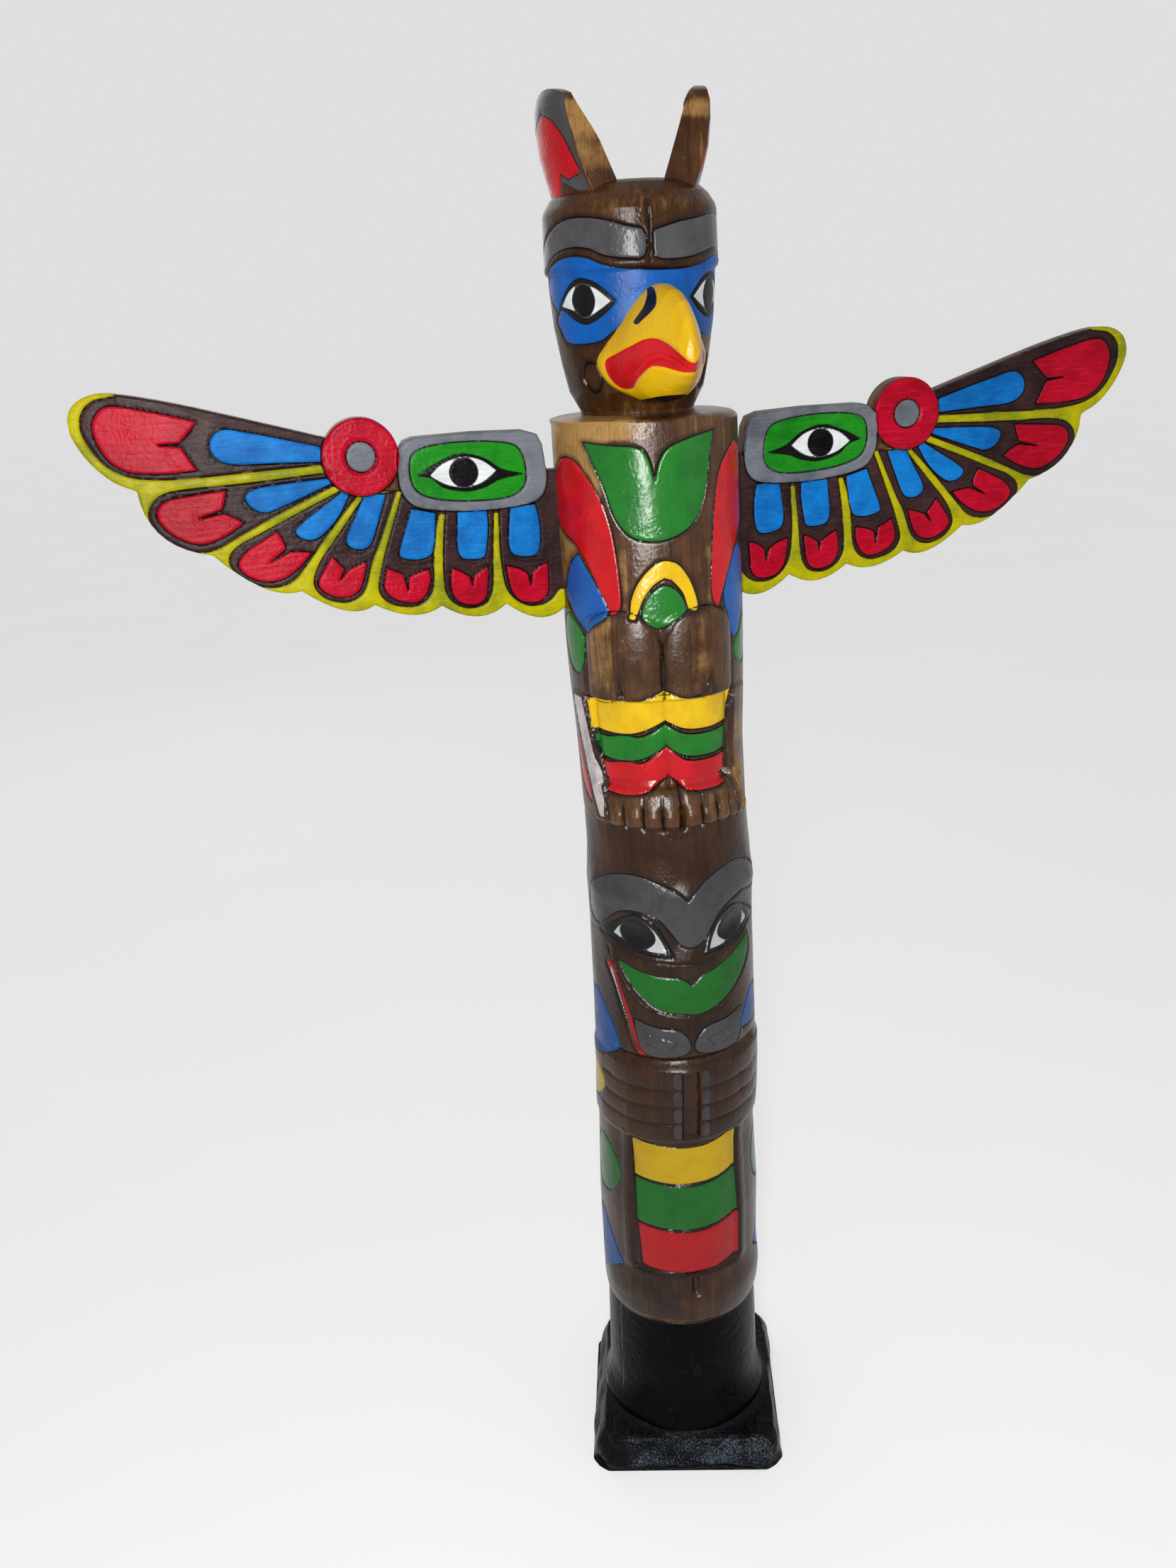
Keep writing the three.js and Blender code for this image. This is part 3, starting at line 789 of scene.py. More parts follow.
def carve_ear(name, side):
    bm = bmesh.new()
    bmesh.ops.create_cube(bm, size=1)
    bmesh.ops.subdivide_edges(bm, edges=bm.edges, cuts=EAR_CUTS, use_grid_fill=True)
    piece = new_piece(name, bm)
    p = points_of(piece.data) + 0.5
    y = EAR_MIDDLE + (p[:, 1] * 2 - 1) * EAR_HALF_DEPTH
    z = EAR_FOOT + p[:, 2] * (ear_top(y) - EAR_FOOT)
    flare = table(EAR_FLARE, z)
    flare_out = np.sqrt(np.maximum(flare**2 - y**2, 60))
    if side > 0:
        edge = np.sqrt(np.maximum(flare**2 - EAR_FRONT**2, 60))
        flare_out = edge + 0.62 * (flare_out - edge)
    outer = HEAD_AXIS + side * flare_out
    inner = side * np.minimum(side * table(EAR_INNER[side], z) + 0.44 * (y + EAR_FRONT),
                              side * outer - 5)
    share = p[:, 0] if side > 0 else 1 - p[:, 0]
    x = inner + (outer - inner) * share
    set_points(piece.data, np.column_stack([x, y, z]) * MM)
    soften_edges(piece.data, sharper_than=0.35, times=5)
    p = points_of(piece.data) / MM
    angle = np.degrees(np.arctan2(p[:, 0] - HEAD_AXIS, -p[:, 1]))
    skin = (share > 0.985) & (np.abs(p[:, 1] - EAR_MIDDLE) < EAR_HALF_DEPTH - 0.8)
    flat = np.column_stack([angle * HEAD_MM, p[:, 2]])
    relief, dist, line, _ = ear_drawing.read(flat)
    for colour in dist:
        dist[colour] = np.where(skin, dist[colour], FAR)
    line = np.where(skin, line, FAR)
    out = np.radians(angle)
    p[:, 0] += np.sin(out) * relief * skin
    p[:, 1] -= np.cos(out) * relief * skin
    set_points(piece.data, p * MM)
    if side < 0:
        wear_and_light = 0.8 * band(976, 990, 4, p[:, 2]) + 0.4 * band(958, 976, 10, p[:, 2])
    else:
        wear_and_light = 0.7 * band(983, 989, 3, p[:, 2])
    wear_and_light = wear_and_light * (p[:, 1] < -15) * (share < 0.98)
    keep_paint(piece.data, dist, line, wear_and_light)
    print(name, len(piece.data.polygons), "faces")
    return piece


# %% [markdown]
# ## The beak
# A ball is drawn out to the side view of the beak: high at the root, hooked at the
# tip, wide at the cheeks. Its long mouth is drawn on the flank as reach against
# height, cut in, and painted red with two ridges for the tongue.

# %% Beak
BEAK_TURN = 3
BEAK_ROOT = 20
BEAK_LENGTH = 83.7
BEAK_TOP = [
    (20, 868), (30, 883), (38, 889), (46, 891.8), (60, 890.5), (75, 887), (88, 880.5), (97, 872),
    (102, 862), (103.7, 853)
]
BEAK_BOTTOM = [
    (20, 834), (34, 826), (46, 823.6), (60, 825), (75, 829), (88, 834.5), (97, 840), (101, 843.5),
    (103.7, 848)
]
BEAK_HALF = [
    (20, 33), (28, 34.8), (33, 34.9), (38, 33.2), (46, 29.4), (57, 25), (66, 21.4), (75, 17.6),
    (84, 13.8), (92, 10.2), (98, 7.2), (102, 4.2), (103.7, 0.5)
]
NOSTRIL = [(7.5, 889), (9, 883), (11.5, 877), (17, 870.5)]

beak = Drawing()
beak.paint("red", [
    (39, 850.5), (47, 854), (57, 857.5), (68, 861), (78, 861.5), (88, 858.5), (96, 854), (101, 850),
    (104.5, 846), (103, 842.8), (98, 841.6), (90, 843.5), (83, 845.2), (75, 845.2), (66, 841),
    (58, 836), (52, 833), (43, 832.6), (38, 836), (37, 844)
], corners=(8,), groove=0, lift=-1.8, soft=1.8)
beak.cut([(60, 842), (68, 848), (76, 852), (84, 852.5), (92, 849), (99, 845)], 0.55, 1.5, ink=0.6)
beak.cut([(64, 840), (72, 845), (79, 848), (86, 848.3), (94, 845.6)], 0.4, 1.2, ink=0.7)


def shape_beak():
    bm = bmesh.new()
    bmesh.ops.create_uvsphere(bm, u_segments=220, v_segments=170, radius=1)
    bmesh.ops.rotate(bm, verts=bm.verts, matrix=Matrix.Rotation(math.radians(90), 3, "X"))
    piece = new_piece("beak_carved", bm)
    p = points_of(piece.data)
    along = np.degrees(np.arccos(np.clip(p[:, 1], -1, 1))) / 180
    reach = BEAK_ROOT + BEAK_LENGTH * (0.5 * along + 0.5 * np.sin(along * math.pi / 2))
    ring = np.maximum(np.hypot(p[:, 0], p[:, 2]), 1e-6)
    across, up = p[:, 0] / ring, p[:, 2] / ring
    top, bottom, half = (table(t, reach) for t in (BEAK_TOP, BEAK_BOTTOM, BEAK_HALF))
    middle = bottom + 0.40 * (top - bottom)
    z = middle + np.where(up > 0, (top - middle) * up, (middle - bottom) * up)
    flat_cheek = np.sign(across) * np.abs(across) ** 0.9
    x = half * flat_cheek * np.where(up > 0, 1 - 0.32 * up, 1)
    pole = np.hypot(p[:, 0], p[:, 2]) < 1e-4
    x[pole] = 0
    z[pole] = middle[pole]
    flat = np.column_stack([reach, z])
    relief, dist, line, _ = beak.read(flat)
    side = np.clip(np.abs(x) / 3, 0, 1)
    x += np.sign(x) * relief * side * np.clip(half / 8, 0, 1)
    nostril, _ = nearest(np.column_stack([np.degrees(np.arctan2(np.abs(x), reach)), z]),
                         curve(NOSTRIL, closed=False), closed=False)
    dist["black"] = np.where((reach < 75) & (z > 862), nostril - 2.3 + 0.5 * np.abs(z - 879) / 6,
                             FAR)
    reach -= 0.8 * np.clip(1 - nostril / 1.8, 0, 1) * (reach < 75)
    turn = math.radians(BEAK_TURN)
    out = np.column_stack([x * math.cos(turn) + reach * math.sin(turn) + HEAD_AXIS,
                           x * math.sin(turn) - reach * math.cos(turn), z])
    set_points(piece.data, out * MM)
    # Painted shadow: black is painted under the lower jaw, where shade falls beneath the beak.
    painted_chin_shadow = np.hypot(x / 11, (reach - 52) / 26) - 1
    dist["black"] = np.minimum(dist["black"], np.where(z < 834, painted_chin_shadow * 8 + (z - 828) * 0.8, FAR))
    keep_paint(piece.data, dist, line)
    print("beak", len(piece.data.polygons), "faces")
    return piece


# %% [markdown]
# ## The wings
# Each wing is a flat board, sawn to a scalloped outline. A fine slab is cut to the
# outline with a boolean, so its face has points to carve and its back stays plain.
# The motifs are drawn once and mirrored for the other wing.

# %% Wing outline
WING_THICKNESS = 14
WING_REACH = 349.8
CUSPS = [(318, 792), (280, 750), (229.5, 722.6), (185, 709), (142, 704), (99.5, 701), (60, 695)]
LOWEST = [(308, 764), (253, 727), (204, 707.5), (161.5, 700), (119.5, 694.5), (78, 689.5)]
RING_CENTRE = (183.5, 802)
RING_RADIUS = 23.5
WING_ROOT = 55.5


def bend(start, control, end, steps=9):
    t = np.linspace(0, 1, steps, endpoint=False)[:, None]
    a, c, b = (np.array(v, float) for v in (start, control, end))
    return (1 - t) ** 2 * a + 2 * t * (1 - t) * c + t**2 * b


def arc(centre, radius, start, end, steps):
    t = np.radians(np.linspace(start, end, steps))
    return np.column_stack([centre[0] + radius * np.cos(t), centre[1] + radius * np.sin(t)])


def wing_outline():
    parts = [np.array([(WING_ROOT, 694.5)])]
    for i in range(5, -1, -1):
        a, b, low = (np.array(v) for v in (CUSPS[i + 1], CUSPS[i], LOWEST[i]))
        parts.append(bend(a, 2 * low - (a + b) / 2, b))
    parts.append(curve([
        (318, 792), (331, 799), (342, 811), (348.6, 824), (350, 834), (346, 843), (336, 848.4),
        (322, 848.4), (290, 841), (248, 828.5), (207, 815.8)
    ], corners=(0, 10), closed=False))
    parts.append(arc(RING_CENTRE, RING_RADIUS, 33, 173, 25))
    parts.append(np.array([
        (158.6, 806), (156, 809.2), (150, 811), (112, 811.4), (80, 810.2), (72, 807.5), (69, 801),
        (67.5, 788), (66.5, 784.5), (WING_ROOT, 784)
    ]))
    return np.vstack(parts)


outline = wing_outline()
print("wing outline:", len(outline), "points")

# %% Feather cells
wing = Drawing()
CELLS = [
    ([
        (203, 799.2), (250, 798.2), (285, 797.3), (305, 798), (321, 801), (333, 808.5),
        (340.5, 820), (343.3, 830), (341, 839), (334, 845), (322, 847), (312, 856), (250, 850),
        (200, 830)
    ], (0, 10, 11, 12, 13)),
    ([
        (203, 794), (250, 791.7), (290, 790.8), (304, 788.7), (311.5, 783), (313.5, 775),
        (309, 765.5), (300, 757.5), (288, 752.8), (277, 753.8), (262, 760.5), (240, 770.5),
        (202, 786)
    ], (0, 12)),
    ([
        (199, 782), (225, 771.3), (250, 760.5), (262, 755.5), (269.5, 749.5), (270.5, 742.5),
        (264.5, 734), (254, 728.3), (243, 727), (233, 730.3), (224, 739.5), (206, 760), (188, 779)
    ], (0, 12)),
    ([
        (184, 778), (199, 760), (213.5, 743), (220.5, 731), (220.5, 723), (214.5, 716.3),
        (204, 713), (195, 715), (189.3, 721.5), (184, 736), (176, 752), (164, 779)
    ], (0, 11)),
    ([
        (160, 779), (168.8, 757), (176.5, 737), (181, 722), (180, 714.5), (174.5, 709),
        (166, 706.3), (158, 706), (150.5, 709.8), (146.3, 718), (144.8, 735), (142.5, 750),
        (137.5, 766)
    ], (0, 12)),
    ([
        (134, 766), (137.5, 742), (139, 722), (138.3, 712), (133.5, 705), (125, 701), (115, 702),
        (110, 707), (107.5, 716), (106, 735), (103, 766)
    ], (0, 10)),
    ([
        (99.5, 766), (100.8, 740), (100.3, 722), (98.3, 711), (93, 703.3), (85, 698.6), (76, 698.3),
        (69, 701.3), (63, 707.5), (50, 714), (50, 790), (75, 790)
    ], (0, 9, 10, 11)),
]
wing.paint("yellow", [
    (208, 800.5), (340, 862), (372, 830), (330, 770), (240, 700), (150, 670), (40, 670), (40, 704),
    (66, 708), (90, 760), (150, 764), (160, 779), (184, 781), (203, 786)
], corners=range(14), groove=0)
for cell, corners in CELLS:
    wing.paint("ground", cell, corners, groove=0.9, width=1.5, lift=-0.7, soft=1.6)
print("feather cells:", len(CELLS))

# %% Red tips
TIP_CORNERS = (0, 2, 3, 4, 6)
RED_TIPS = [
    [
        (277, 830), (283, 823.5), (289, 817.8), (301.5, 817.8), (288.5, 816.2), (285, 809),
        (281, 801.2), (302, 800.8), (321, 803.5), (332, 812), (337, 826), (335, 836), (326, 842),
        (305, 838)
    ],
    [
        (266, 789), (268, 782), (270, 777), (284.5, 773), (269.5, 775.2), (263.5, 772), (258, 768),
        (271, 760.7), (285, 757), (297, 761), (306, 769), (309, 778), (303, 785.2), (285, 787.6)
    ],
    [
        (239.5, 761.5), (236.5, 755), (235.5, 749.8), (246, 742.8), (234, 748.2), (228, 748),
        (219.8, 746.6), (229, 737.5), (239, 731.6), (250, 730.4), (261, 735), (266, 743),
        (260, 750.8), (250, 756.3)
    ],
    [
        (208.3, 743.6), (204, 737.5), (201, 734.2), (205, 727.5), (199.5, 733.4), (194, 735.6),
        (186.6, 737.6), (189.8, 727), (194, 719.2), (201, 715.8), (209, 716.6), (216.5, 721.2),
        (219, 727), (214.5, 735)
    ],
    [
        (175, 732.8), (170, 729.8), (164.5, 727.3), (163, 716.5), (162, 724.8), (156, 727.3),
        (148, 729.2), (147.8, 721), (151.5, 712.3), (157, 708.2), (165, 708.6), (173.5, 712.5),
        (178, 719), (177, 726)
    ],
    [
        (133.8, 728.3), (128, 725.6), (122, 721.4), (121, 715.5), (120.3, 721.4), (115, 724.8),
        (109.3, 727.4), (110.6, 715), (112.8, 706.5), (118, 702.8), (125.5, 703), (132, 706.4),
        (135.3, 714), (135, 722)
    ],
    [
        (98.2, 726.3), (90, 723.8), (83.8, 720), (82.2, 711.8), (81.4, 719.8), (76, 724),
        (69.5, 726), (70, 715), (70.8, 706.3), (75, 701), (82, 699.9), (90.5, 702.3), (95.5, 709),
        (97.4, 718)
    ],
]
for tip in RED_TIPS:
    wing.paint("red", tip, TIP_CORNERS, groove=0.8, width=1.1, lift=0.8, soft=1.0)
print("red tips:", len(RED_TIPS))

# %% Blue bars
BLUE_BARS = [
    [
        (207, 810), (228, 816), (250, 821.8), (264, 824.3), (271.8, 818), (271, 809), (261, 803.2),
        (235, 801.8), (207, 800.5)
    ],
    [
        (203, 791), (230, 790), (249, 788.2), (256, 784), (253.5, 777), (246, 773), (236, 775),
        (203, 787)
    ],
    [
        (196, 783), (212, 773), (224, 765.3), (229, 760), (225, 755), (217.5, 753.8), (209, 758.8),
        (200, 768), (192, 781)
    ],
    [
        (184, 779), (190, 768.5), (198, 754), (197, 747.6), (190, 744.9), (183, 748), (177, 761),
        (170, 778.5)
    ],
    [
        (155.8, 768), (161, 755), (166.3, 741), (164, 737), (155, 735.2), (147, 736.8),
        (143.8, 741.5), (141.7, 752), (140.3, 764)
    ],
    [
        (127, 764), (128, 753), (129, 741), (126.5, 733.8), (119, 731.9), (111.5, 733.2),
        (109, 741), (107.3, 753), (107.3, 764)
    ],
    [
        (92.5, 764), (94.3, 752), (95.3, 739), (92.5, 732.8), (85, 730.4), (77.5, 731.2),
        (74.3, 737), (73.4, 750), (75.5, 764)
    ],
]
for bar in BLUE_BARS:
    wing.paint("blue", bar, (0, len(bar) - 1), groove=0.8, width=1.2, lift=0.7, soft=1.2)
print("blue bars:", len(BLUE_BARS))

# %% Ring and eye
wing.paint("red", arc(RING_CENTRE, RING_RADIUS + 0.6, 0, 342, 20), groove=0.6, width=1.2, lift=2.0,
           soft=0.9)
wing.paint("ground", arc(RING_CENTRE, 10.4, 0, 336, 15), groove=0, lift=-1.6, soft=1.0)
wing.paint("disc", arc(RING_CENTRE, 9.3, 0, 336, 15), groove=0.5, width=1.0, lift=1.3, soft=1.0)
wing.paint("grey", [
    (160.8, 803), (158, 808), (150, 812.5), (112, 813), (80, 812), (71.5, 808.5), (68, 801),
    (66.8, 787), (67.5, 776), (72, 767.8), (82, 764), (102, 762.6), (125, 763.4), (146, 766.5),
    (156, 771), (161.3, 780), (162, 791)
], groove=0.7, width=1.2, lift=2.0, soft=0.9)
wing.paint("green", [
    (152.5, 800), (144, 804.6), (128, 806.2), (108, 805.8), (90, 803), (83.5, 798), (80.8, 788),
    (82, 777), (90, 770.8), (104, 769.2), (125, 770.2), (142, 773.4), (151.5, 779), (154.5, 789)
], groove=1.0, width=1.4, lift=-0.9, soft=1.4)
wing.paint("black", [
    (149.5, 788), (138, 794), (123, 799), (108, 795.5), (96, 787.5), (83.5, 783.8), (98, 781.5),
    (108, 777.5), (120, 776), (134, 779.5), (141, 785.5)
], corners=(0, 5), groove=0.4, width=0.9, lift=0.5, soft=2)
wing.paint("white", [
    (142.5, 787), (134, 794), (121, 797.4), (109, 794.6), (99.3, 787.2), (109, 780.4), (120, 778),
    (132, 780.5)
], corners=(0, 4), groove=0.3, width=0.8, lift=0.4, soft=2)
wing.paint("pupil", arc((120.6, 787.6), 8.9, 0, 330, 12), groove=0.25, width=0.7)
ARCHES = [
    [(166, 735), (158, 732), (148, 732.5), (143.5, 736)],
    [(129, 733.5), (120, 729.5), (110, 731.5)],
    [(94, 731), (85, 728), (76, 729.5)],
    [(198, 746), (190, 742.5), (181.5, 746)],
    [(231, 757), (222, 751.5), (210, 756)],
    [(258, 781), (252, 772), (240, 771.5)],
]
for arch in ARCHES:
    wing.cut(arch, 0.35, 0.9)
print("wing motifs:", len(wing.shapes), "fields")

# %% Wing boards
WING_STEP = 0.86


def sawn_board(points):
    """Prism of the outline, a little thicker than the board."""
    bm = bmesh.new()
    verts = [bm.verts.new((x * MM, -MM, z * MM)) for x, z in points]
    face = bm.faces.new(verts)
    made = bmesh.ops.extrude_face_region(bm, geom=[face])
    moved = [v for v in made["geom"] if isinstance(v, bmesh.types.BMVert)]
    bmesh.ops.translate(bm, verts=moved, vec=(0, (WING_THICKNESS + 2) * MM, 0))
    bmesh.ops.recalc_face_normals(bm, faces=bm.faces)
    return new_piece("outline_cutter", bm)


def fine_slab(points):
    """Closed slab with a fine grid on its face and a plain back."""
    low, high = points.min(0) - 2, points.max(0) + 2
    size = high - low
    cells = [int(v / WING_STEP) for v in size]
    bm = bmesh.new()
    bmesh.ops.create_grid(bm, x_segments=cells[0], y_segments=cells[1], size=0.5)
    bmesh.ops.scale(bm, verts=bm.verts, vec=(size[0] * MM, size[1] * MM, 1))
    bmesh.ops.rotate(bm, verts=bm.verts, matrix=Matrix.Rotation(math.radians(90), 3, "X"))
    middle = (low + high) / 2
    bmesh.ops.translate(bm, verts=bm.verts, vec=(middle[0] * MM, 0, middle[1] * MM))
    rim = [e for e in bm.edges if e.is_boundary]
    made = bmesh.ops.extrude_edge_only(bm, edges=rim)["geom"]
    back = [v for v in made if isinstance(v, bmesh.types.BMVert)]
    bmesh.ops.translate(bm, verts=back, vec=(0, WING_THICKNESS * MM, 0))
    bmesh.ops.contextual_create(bm, geom=[e for e in bm.edges if e.is_boundary])
    bmesh.ops.recalc_face_normals(bm, faces=bm.faces)
    return new_piece("slab", bm)


def carve_wing(name, side):
    piece = fine_slab(outline)
    piece.name = piece.data.name = name
    cutter = sawn_board(outline)
    cut = piece.modifiers.new("cut", "BOOLEAN")
    cut.operation = "INTERSECT"
    cut.solver = "MANIFOLD"
    cut.object = cutter
    bpy.context.view_layer.update()
    result = piece.evaluated_get(bpy.context.evaluated_depsgraph_get())
    mesh = bpy.data.meshes.new_from_object(result)
    piece.modifiers.clear()
    piece.data = mesh
    bpy.data.objects.remove(cutter)
    p = points_of(mesh) / MM
    front = p[:, 1] < 0.01
    flat = p[:, [0, 2]].copy()
    edge, _ = nearest(flat, outline)
    _, _, line, foot = wing.read(flat)
    snap = front & (line < 0.42 * WING_STEP) & (edge < -1.6 * WING_STEP)
    flat[snap] = foot[snap]
    relief, dist, line, _ = wing.read(flat)
    inside = np.clip(1 + edge / 1.6, 0, 1)
    round_off = 1.5 * (1 - np.sqrt(1 - inside**2))
    ripple = 0.035 * np.sin(flat[:, 1] * 1.5 + 2.4 * np.sin(flat[:, 0] * 0.05))
    ripple *= np.clip(-edge / 4, 0, 1)
    y = np.where(front, round_off - relief + ripple, p[:, 1])
    x = np.minimum(flat[:, 0], WING_REACH) * side
    set_points(mesh, np.column_stack([x, y, flat[:, 1]]) * MM)
    for colour in dist:
        dist[colour] = np.where(front, dist[colour], FAR)
    keep_paint(mesh, dist, np.where(front, line, FAR))
    if side < 0:
        bm = bmesh.new()
        bm.from_mesh(mesh)
        bmesh.ops.recalc_face_normals(bm, faces=bm.faces)
        bm.to_mesh(mesh)
        bm.free()
    print(name, len(mesh.polygons), "faces")
    return piece


# %% [markdown]
# ## The plinth
# The plinth is a block hewn with an axe: the sides slope in to the drum and no two
# corners are alike. A subdivided cube is tapered, its corners are knocked in, broad
# shallow facets are pressed into its sides, and its edges are smoothed. It stands a
# little turned under the log. Its front is marked for painted bluish glints.

# %% Plinth
PLINTH_TURN = -16
PLINTH_HEIGHT = 30
PLINTH_CUTS = 63
PLINTH_BACK = 86.2
PLINTH_RIGHT = [(0, 76.5), (10, 76.5), (18, 75), (26, 73.5), (29, 72), (30, 70.5)]
PLINTH_LEFT = [(0, 76.5), (8, 75.5), (14, 73), (22, 70), (28, 67.5), (30, 66)]
PLINTH_DEPTH = [(0, 75), (5, 75), (12, 74.5), (22, 73.5), (27, 72.8), (29, 71.8), (30, 70.5)]


def hew_plinth():
    bm = bmesh.new()
    bmesh.ops.create_cube(bm, size=1)
    bmesh.ops.subdivide_edges(bm, edges=bm.edges, cuts=PLINTH_CUTS, use_grid_fill=True)
    piece = new_piece("plinth_block", bm)
    p = points_of(piece.data) * 2
    t = (p[:, 2] + 1) / 2
    level = PLINTH_HEIGHT * t
    width = np.where(p[:, 0] > 0, table(PLINTH_RIGHT, level), table(PLINTH_LEFT, level))
    depth = table(PLINTH_DEPTH, level)
    corner = np.clip(np.hypot(p[:, 0], p[:, 1]) - 1.3, 0, 1)
    knock = 1 - 0.6 * corner
    edge = np.maximum(np.abs(p[:, 0]), np.abs(p[:, 1])) ** 6
    hewn = (1.2 * np.sin(4.1 * p[:, 0] + 2.7 * p[:, 1] + 3 * t)
            + 0.7 * np.sin(9 * p[:, 0] - 7 * p[:, 1] + 8 * t)
            + 0.4 * np.sin(23 * p[:, 0] + 17 * p[:, 1])) - 1.2
    hewn = hewn * edge * band(0.04, 0.96, 0.04, t)
    x = p[:, 0] * (width + hewn) * knock
    y = p[:, 1] * (depth + hewn) * knock
    dip = (5.5 - 6.5 * rise(61, 71, np.hypot(x, y))) * t**8
    dip += 0.25 * np.sin(6 * p[:, 0] + 2 * p[:, 1]) * (t > 0.999) - 0.25 * (t > 0.999)
    turn = math.radians(PLINTH_TURN)
    back = np.minimum(x * math.sin(turn) + y * math.cos(turn), PLINTH_BACK)
    out = np.column_stack([x * math.cos(turn) - y * math.sin(turn), back, level + dip])
    set_points(piece.data, out * MM)
    soften_edges(piece.data, sharper_than=0.3, times=3, above=2 * MM)
    p = points_of(piece.data) / MM
    forward = p[:, 1] * math.cos(turn) - p[:, 0] * math.sin(turn)
    # Painted glints: the front face is marked for bluish specks where the lamp catches the hewn
    # facets.
    painted_glints = 0.6 * band(6, 27, 4, p[:, 2]) * (forward < -68) * band(-58, 74, 12, p[:, 0])
    keep_paint(piece.data, {}, np.full(len(p), FAR), painted_glints)
    print("plinth", len(piece.data.polygons), "faces")
    return piece


# %% [markdown]
# ## Make the pieces
# The drum has one fine drying crack; the other sections carry their drawings.

# %% Carve everything
drum = Drawing(DEGREE_MM)
drum.cut([(-73, 131), (-72.5, 95), (-71, 50)], 0.4, 0.9, ink=0)
body_piece = carve_section("bird_body", FEET_LEDGE, SHOULDER, 1.05, 330, body, LOG_PROFILE)
face_piece = carve_section("lower_face", CHIN, FEET_LEDGE, 1.05, 320, lower, LOG_PROFILE)
belly_piece = carve_section("lower_body", DRUM_TOP, CHIN, 1.2, 320, lower, LOG_PROFILE)
drum_piece = carve_section("black_drum", POLE_BOTTOM, DRUM_TOP, 1.6, 260, drum, LOG_PROFILE,
                           shaped=False)
head_piece = carve_section("bird_head", SHOULDER - 0.5, HEAD_TOP, 0.9, 300, head, HEAD_PROFILE,
                           shaped=False)
ears = [carve_ear("left_ear", -1), carve_ear("right_ear", 1)]
beak_piece = shape_beak()
wings = [carve_wing("left_wing_carved", -1), carve_wing("right_wing_carved", 1)]
plinth_piece = hew_plinth()
pieces = [body_piece, face_piece, belly_piece, drum_piece, head_piece, *ears, beak_piece, *wings,
          plinth_piece]
print("pieces:", len(pieces))

# %% [markdown]
# ## Materials
# The wood is stained brown and the stain pools in the grooves. Over it lie flat
# enamel colours, each ending on its own outline, and a lumpy clear varnish covers
# all of it. The same recipe serves the log and the boards; only the direction of
# the grain and the tone of the stain differ.

# %% Shader arithmetic
class Socket:
    """A shader value that can be added, multiplied and compared in Python."""

    def __init__(self, shader, socket):
        self.shader, self.socket = shader, socket

    def _do(self, operation, *values):
        return self.shader.node("ShaderNodeMath", {"operation": operation}, dict(enumerate(values)))

    def __add__(self, other):
        return self._do("ADD", self, other)

    def __radd__(self, other):
        return self._do("ADD", other, self)

    def __sub__(self, other):
        return self._do("SUBTRACT", self, other)

    def __rsub__(self, other):
        return self._do("SUBTRACT", other, self)

    def __mul__(self, other):
        return self._do("MULTIPLY", self, other)

    def __rmul__(self, other):
        return self._do("MULTIPLY", other, self)

    def most(self, other):
        return self._do("MAXIMUM", self, other)

    def step(self, low, high):
        """0 below low, 1 above high, smooth between."""
        return self.shader.node("ShaderNodeMapRange", {"interpolation_type": "SMOOTHSTEP"},
                                {"Value": self, "From Min": low, "From Max": high})


print("shader values can be added, multiplied and compared")


# %% A material and its nodes
class Shader:
    """A new material and the nodes in it."""

    def __init__(self, name):
        self.material = bpy.data.materials.new(name)
        self.material.use_nodes = True
        self.tree = self.material.node_tree
        self.tree.nodes.clear()

    def node(self, kind, settings=None, inputs=None, out=0):
        """One node of a kind, its settings first, then the values or links of its sockets."""
        made = self.tree.nodes.new(kind)
        for key, value in (settings or {}).items():
            setattr(made, key, value)
        for key, value in (inputs or {}).items():
            if isinstance(value, Socket):
                self.tree.links.new(value.socket, made.inputs[key])
            else:
                made.inputs[key].default_value = value
        return Socket(self, made.outputs[out])

    def mix(self, factor, a, b):
        return self.node("ShaderNodeMix", {"data_type": "RGBA"}, {0: factor, 6: a, 7: b}, out=2)

    def place(self, scale=(1, 1, 1)):
        where = self.node("ShaderNodeTexCoord", out="Object")
        return self.node("ShaderNodeMapping", None, {"Vector": where, "Scale": scale})

    def noise(self, where, scale, detail, roughness=0.5, distortion=0.0):
        return self.node("ShaderNodeTexNoise", None, {
            "Vector": where, "Scale": scale, "Detail": detail, "Roughness": roughness,
            "Distortion": distortion})

    def attribute(self, name):
        return self.node("ShaderNodeAttribute", {"attribute_name": name}, out="Fac")

    def surface(self, **sockets):
        """The finished surface; a socket's name is written with _ for each space."""
        named = {key.replace("_", " "): value for key, value in sockets.items()}
        body = self.node("ShaderNodeBsdfPrincipled", None, named)
        end = self.tree.nodes.new("ShaderNodeOutputMaterial")
        self.tree.links.new(body.socket, end.inputs["Surface"])
        return self.material


print("a Shader makes one material")

# %% Paint-chart colours
DEPTH = 0.52


def tone(red, green, blue):
    """Paint-chart colour (0 to 255) as a linear colour, deepened for the strong lamps."""
    linear = [DEPTH * (v / 255) ** 2.2 for v in (red, green, blue)]
    return (*linear, 1.0)


print("a middle grey is", round(tone(128, 128, 128)[0], 3))

